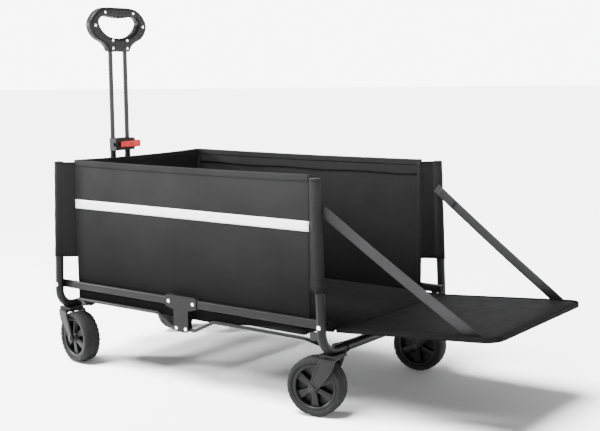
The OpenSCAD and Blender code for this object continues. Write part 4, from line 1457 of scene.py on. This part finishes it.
def light_stage():
    """Soft light from all round, a broad light from above and one from the handle's side."""
    stage = sizes("wagon_stage")
    world = bpy.data.worlds.new("Studio")
    world.use_nodes = True
    nodes, links = world.node_tree.nodes, world.node_tree.links
    split = nodes.new("ShaderNodeSeparateXYZ")
    links.new(nodes.new("ShaderNodeTexCoord").outputs["Generated"], split.inputs[0])
    fall = nodes.new("ShaderNodeMapRange")
    for label, value in (("From Min", 0.07), ("From Max", 0.20), ("To Min", stage.horizon),
                         ("To Max", stage.sky)):
        fall.inputs[label].default_value = value
    links.new(split.outputs["Z"], fall.inputs["Value"])
    links.new(fall.outputs[0], nodes["Background"].inputs["Strength"])
    nodes["Background"].inputs["Color"].default_value = (1, 1, 1, 1)
    bpy.context.scene.world = world
    high = Vector((-0.22, -0.34, 1.0)).to_track_quat("Z", "Y")
    broad = light("Broad light", "SUN", stage.key, high.to_matrix().to_4x4())
    broad.angle = math.radians(34)
    place, target = Vector((-2.75, -1.55, 1.35)), Vector((-0.3, -0.3, 0.5))
    turn = (target - place).to_track_quat("-Z", "Y").to_matrix().to_4x4()
    side = light("Side light", "AREA", stage.side, Matrix.Translation(place) @ turn)
    side.shape, side.size, side.size_y = "RECTANGLE", 0.35, 0.35


def lay_floor():
    """A plain pale floor that reaches the horizon."""
    mesh = bpy.data.meshes.new("Floor")
    reach = 70.0
    mesh.from_pydata([(-reach, -reach, 0), (reach, -reach, 0), (reach, reach, 0),
                      (-reach, reach, 0)], [], [[0, 1, 2, 3]])
    floor = bpy.data.objects.new("Floor", mesh)
    bpy.context.scene.collection.objects.link(floor)
    paper = Finish("studio floor", Specular_IOR_Level=0.1)
    paper.spread(paper.noise(3.0), sizes("wagon_stage").floor, 0.995, 1.005)
    paper.rough(paper.noise(8.0), 0.85, 0.95)
    mesh.materials.append(paper.material)


# ---- Operators ----


class WagonPart:
    """What every operator here shares."""

    bl_options = {"REGISTER", "UNDO"}


class WAGON_OT_stage(WagonPart, bpy.types.Operator):
    """Makes the camera, the lights and the floor"""

    bl_idname = "wagon.stage"
    bl_label = "Stage"

    def execute(self, context):
        stand_camera()
        light_stage()
        lay_floor()
        return {"FINISHED"}


class WAGON_OT_frame_finish(WagonPart, bpy.types.Operator):
    """Gives every CAD node the finish of its material slot"""

    bl_idname = "wagon.frame_finish"
    bl_label = "Frame finishes"

    def execute(self, context):
        for part in frame["record"]["subparts"]:
            materials = frame["nodes"][part["node"]].data.materials
            materials.clear()
            materials.append(finish(part["material_slot"]))
        return {"FINISHED"}


class WAGON_OT_bag(WagonPart, bpy.types.Operator):
    """Makes the bag's walls, hems, rim tape and reflective strips"""

    bl_idname = "wagon.bag"
    bl_label = "Bag"

    def execute(self, context):
        for side in SIDES:
            side_wall(side)
            hem_band(side)
            end_hem(side)
        end_wall()
        bind_rim()
        strip_walls()
        return {"FINISHED"}


class WAGON_OT_sleeves(WagonPart, bpy.types.Operator):
    """Makes the sleeves that hold the bag to the posts"""

    bl_idname = "wagon.sleeves"
    bl_label = "Sleeves"

    def execute(self, context):
        sew_sleeves()
        return {"FINISHED"}


class WAGON_OT_floor(WagonPart, bpy.types.Operator):
    """Makes the floor panels and the cloth below them"""

    bl_idname = "wagon.floor"
    bl_label = "Floor"

    def execute(self, context):
        for end in ENDS:
            floor_panel(end)
            base_cloth(end)
        return {"FINISHED"}


class WAGON_OT_tailgate(WagonPart, bpy.types.Operator):
    """Makes the padded tailgate, its piping and its hinge flap"""

    bl_idname = "wagon.tailgate"
    bl_label = "Tailgate"

    def execute(self, context):
        gate_pad()
        gate_trim()
        gate_flap()
        return {"FINISHED"}


class WAGON_OT_straps(WagonPart, bpy.types.Operator):
    """Makes the webbing straps"""

    bl_idname = "wagon.straps"
    bl_label = "Straps"

    def execute(self, context):
        straps()
        return {"FINISHED"}


class WAGON_OT_lower_rods(WagonPart, bpy.types.Operator):
    """Makes the lower frames' bent rods and the small stops"""

    bl_idname = "wagon.lower_rods"
    bl_label = "Lower rods"

    def execute(self, context):
        lower_rod("rear", 118 * MM)
        lower_rod("front", 100 * MM)
        frame_stops()
        return {"FINISHED"}


class WAGON_OT_casters(WagonPart, bpy.types.Operator):
    """Makes the forks, rims and treaded tyres"""

    bl_idname = "wagon.casters"
    bl_label = "Casters"

    def execute(self, context):
        for corner in CORNERS:
            place = caster_place(corner)
            fork(corner, place)
            rim(corner, place)
            tyre(corner, place)
        return {"FINISHED"}


class WAGON_OT_handle(WagonPart, bpy.types.Operator):
    """Makes the D grip and the latch's trim"""

    bl_idname = "wagon.handle"
    bl_label = "Handle"

    def execute(self, context):
        grip_half("grip_shell_front", "grip_front", -1)
        grip_half("grip_shell_rear", "grip_rear", 1)
        latch_ribs()
        return {"FINISHED"}


class WAGON_OT_fixings(WagonPart, bpy.types.Operator):
    """Makes the rivet and screw heads"""

    bl_idname = "wagon.fixings"
    bl_label = "Fixings"

    def execute(self, context):
        for end in ENDS:
            post_rivets(end)
        plate_rivets()
        grip_screws()
        return {"FINISHED"}


STEPS = (WAGON_OT_stage, WAGON_OT_frame_finish, WAGON_OT_bag, WAGON_OT_sleeves,
         WAGON_OT_floor, WAGON_OT_tailgate, WAGON_OT_straps, WAGON_OT_lower_rods,
         WAGON_OT_casters, WAGON_OT_handle, WAGON_OT_fixings)


class WAGON_PT_parts(bpy.types.Panel):
    """Lists the wagon's sizes, colours and steps"""

    bl_idname = "WAGON_PT_parts"
    bl_label = "Wagon"
    bl_space_type = "VIEW_3D"
    bl_region_type = "UI"
    bl_category = "Wagon"

    def draw(self, context):
        for group, kind in GROUPS.items():
            box = self.layout.box()
            for label in kind.__annotations__:
                box.prop(getattr(context.scene, group), label)
        for step in STEPS:
            self.layout.operator(step.bl_idname)


def register():
    for kind in (*GROUPS.values(), *STEPS, WAGON_PT_parts):
        bpy.utils.register_class(kind)
    for group, kind in GROUPS.items():
        setattr(bpy.types.Scene, group, bpy.props.PointerProperty(type=kind))


def unregister():
    for group in GROUPS:
        delattr(bpy.types.Scene, group)
    for kind in (WAGON_PT_parts, *STEPS[::-1], *reversed(GROUPS.values())):
        bpy.utils.unregister_class(kind)


def main():
    register()
    for step in STEPS:
        space, action = step.bl_idname.split(".")
        getattr(getattr(bpy.ops, space), action)()


if __name__ == "__main__":
    main()
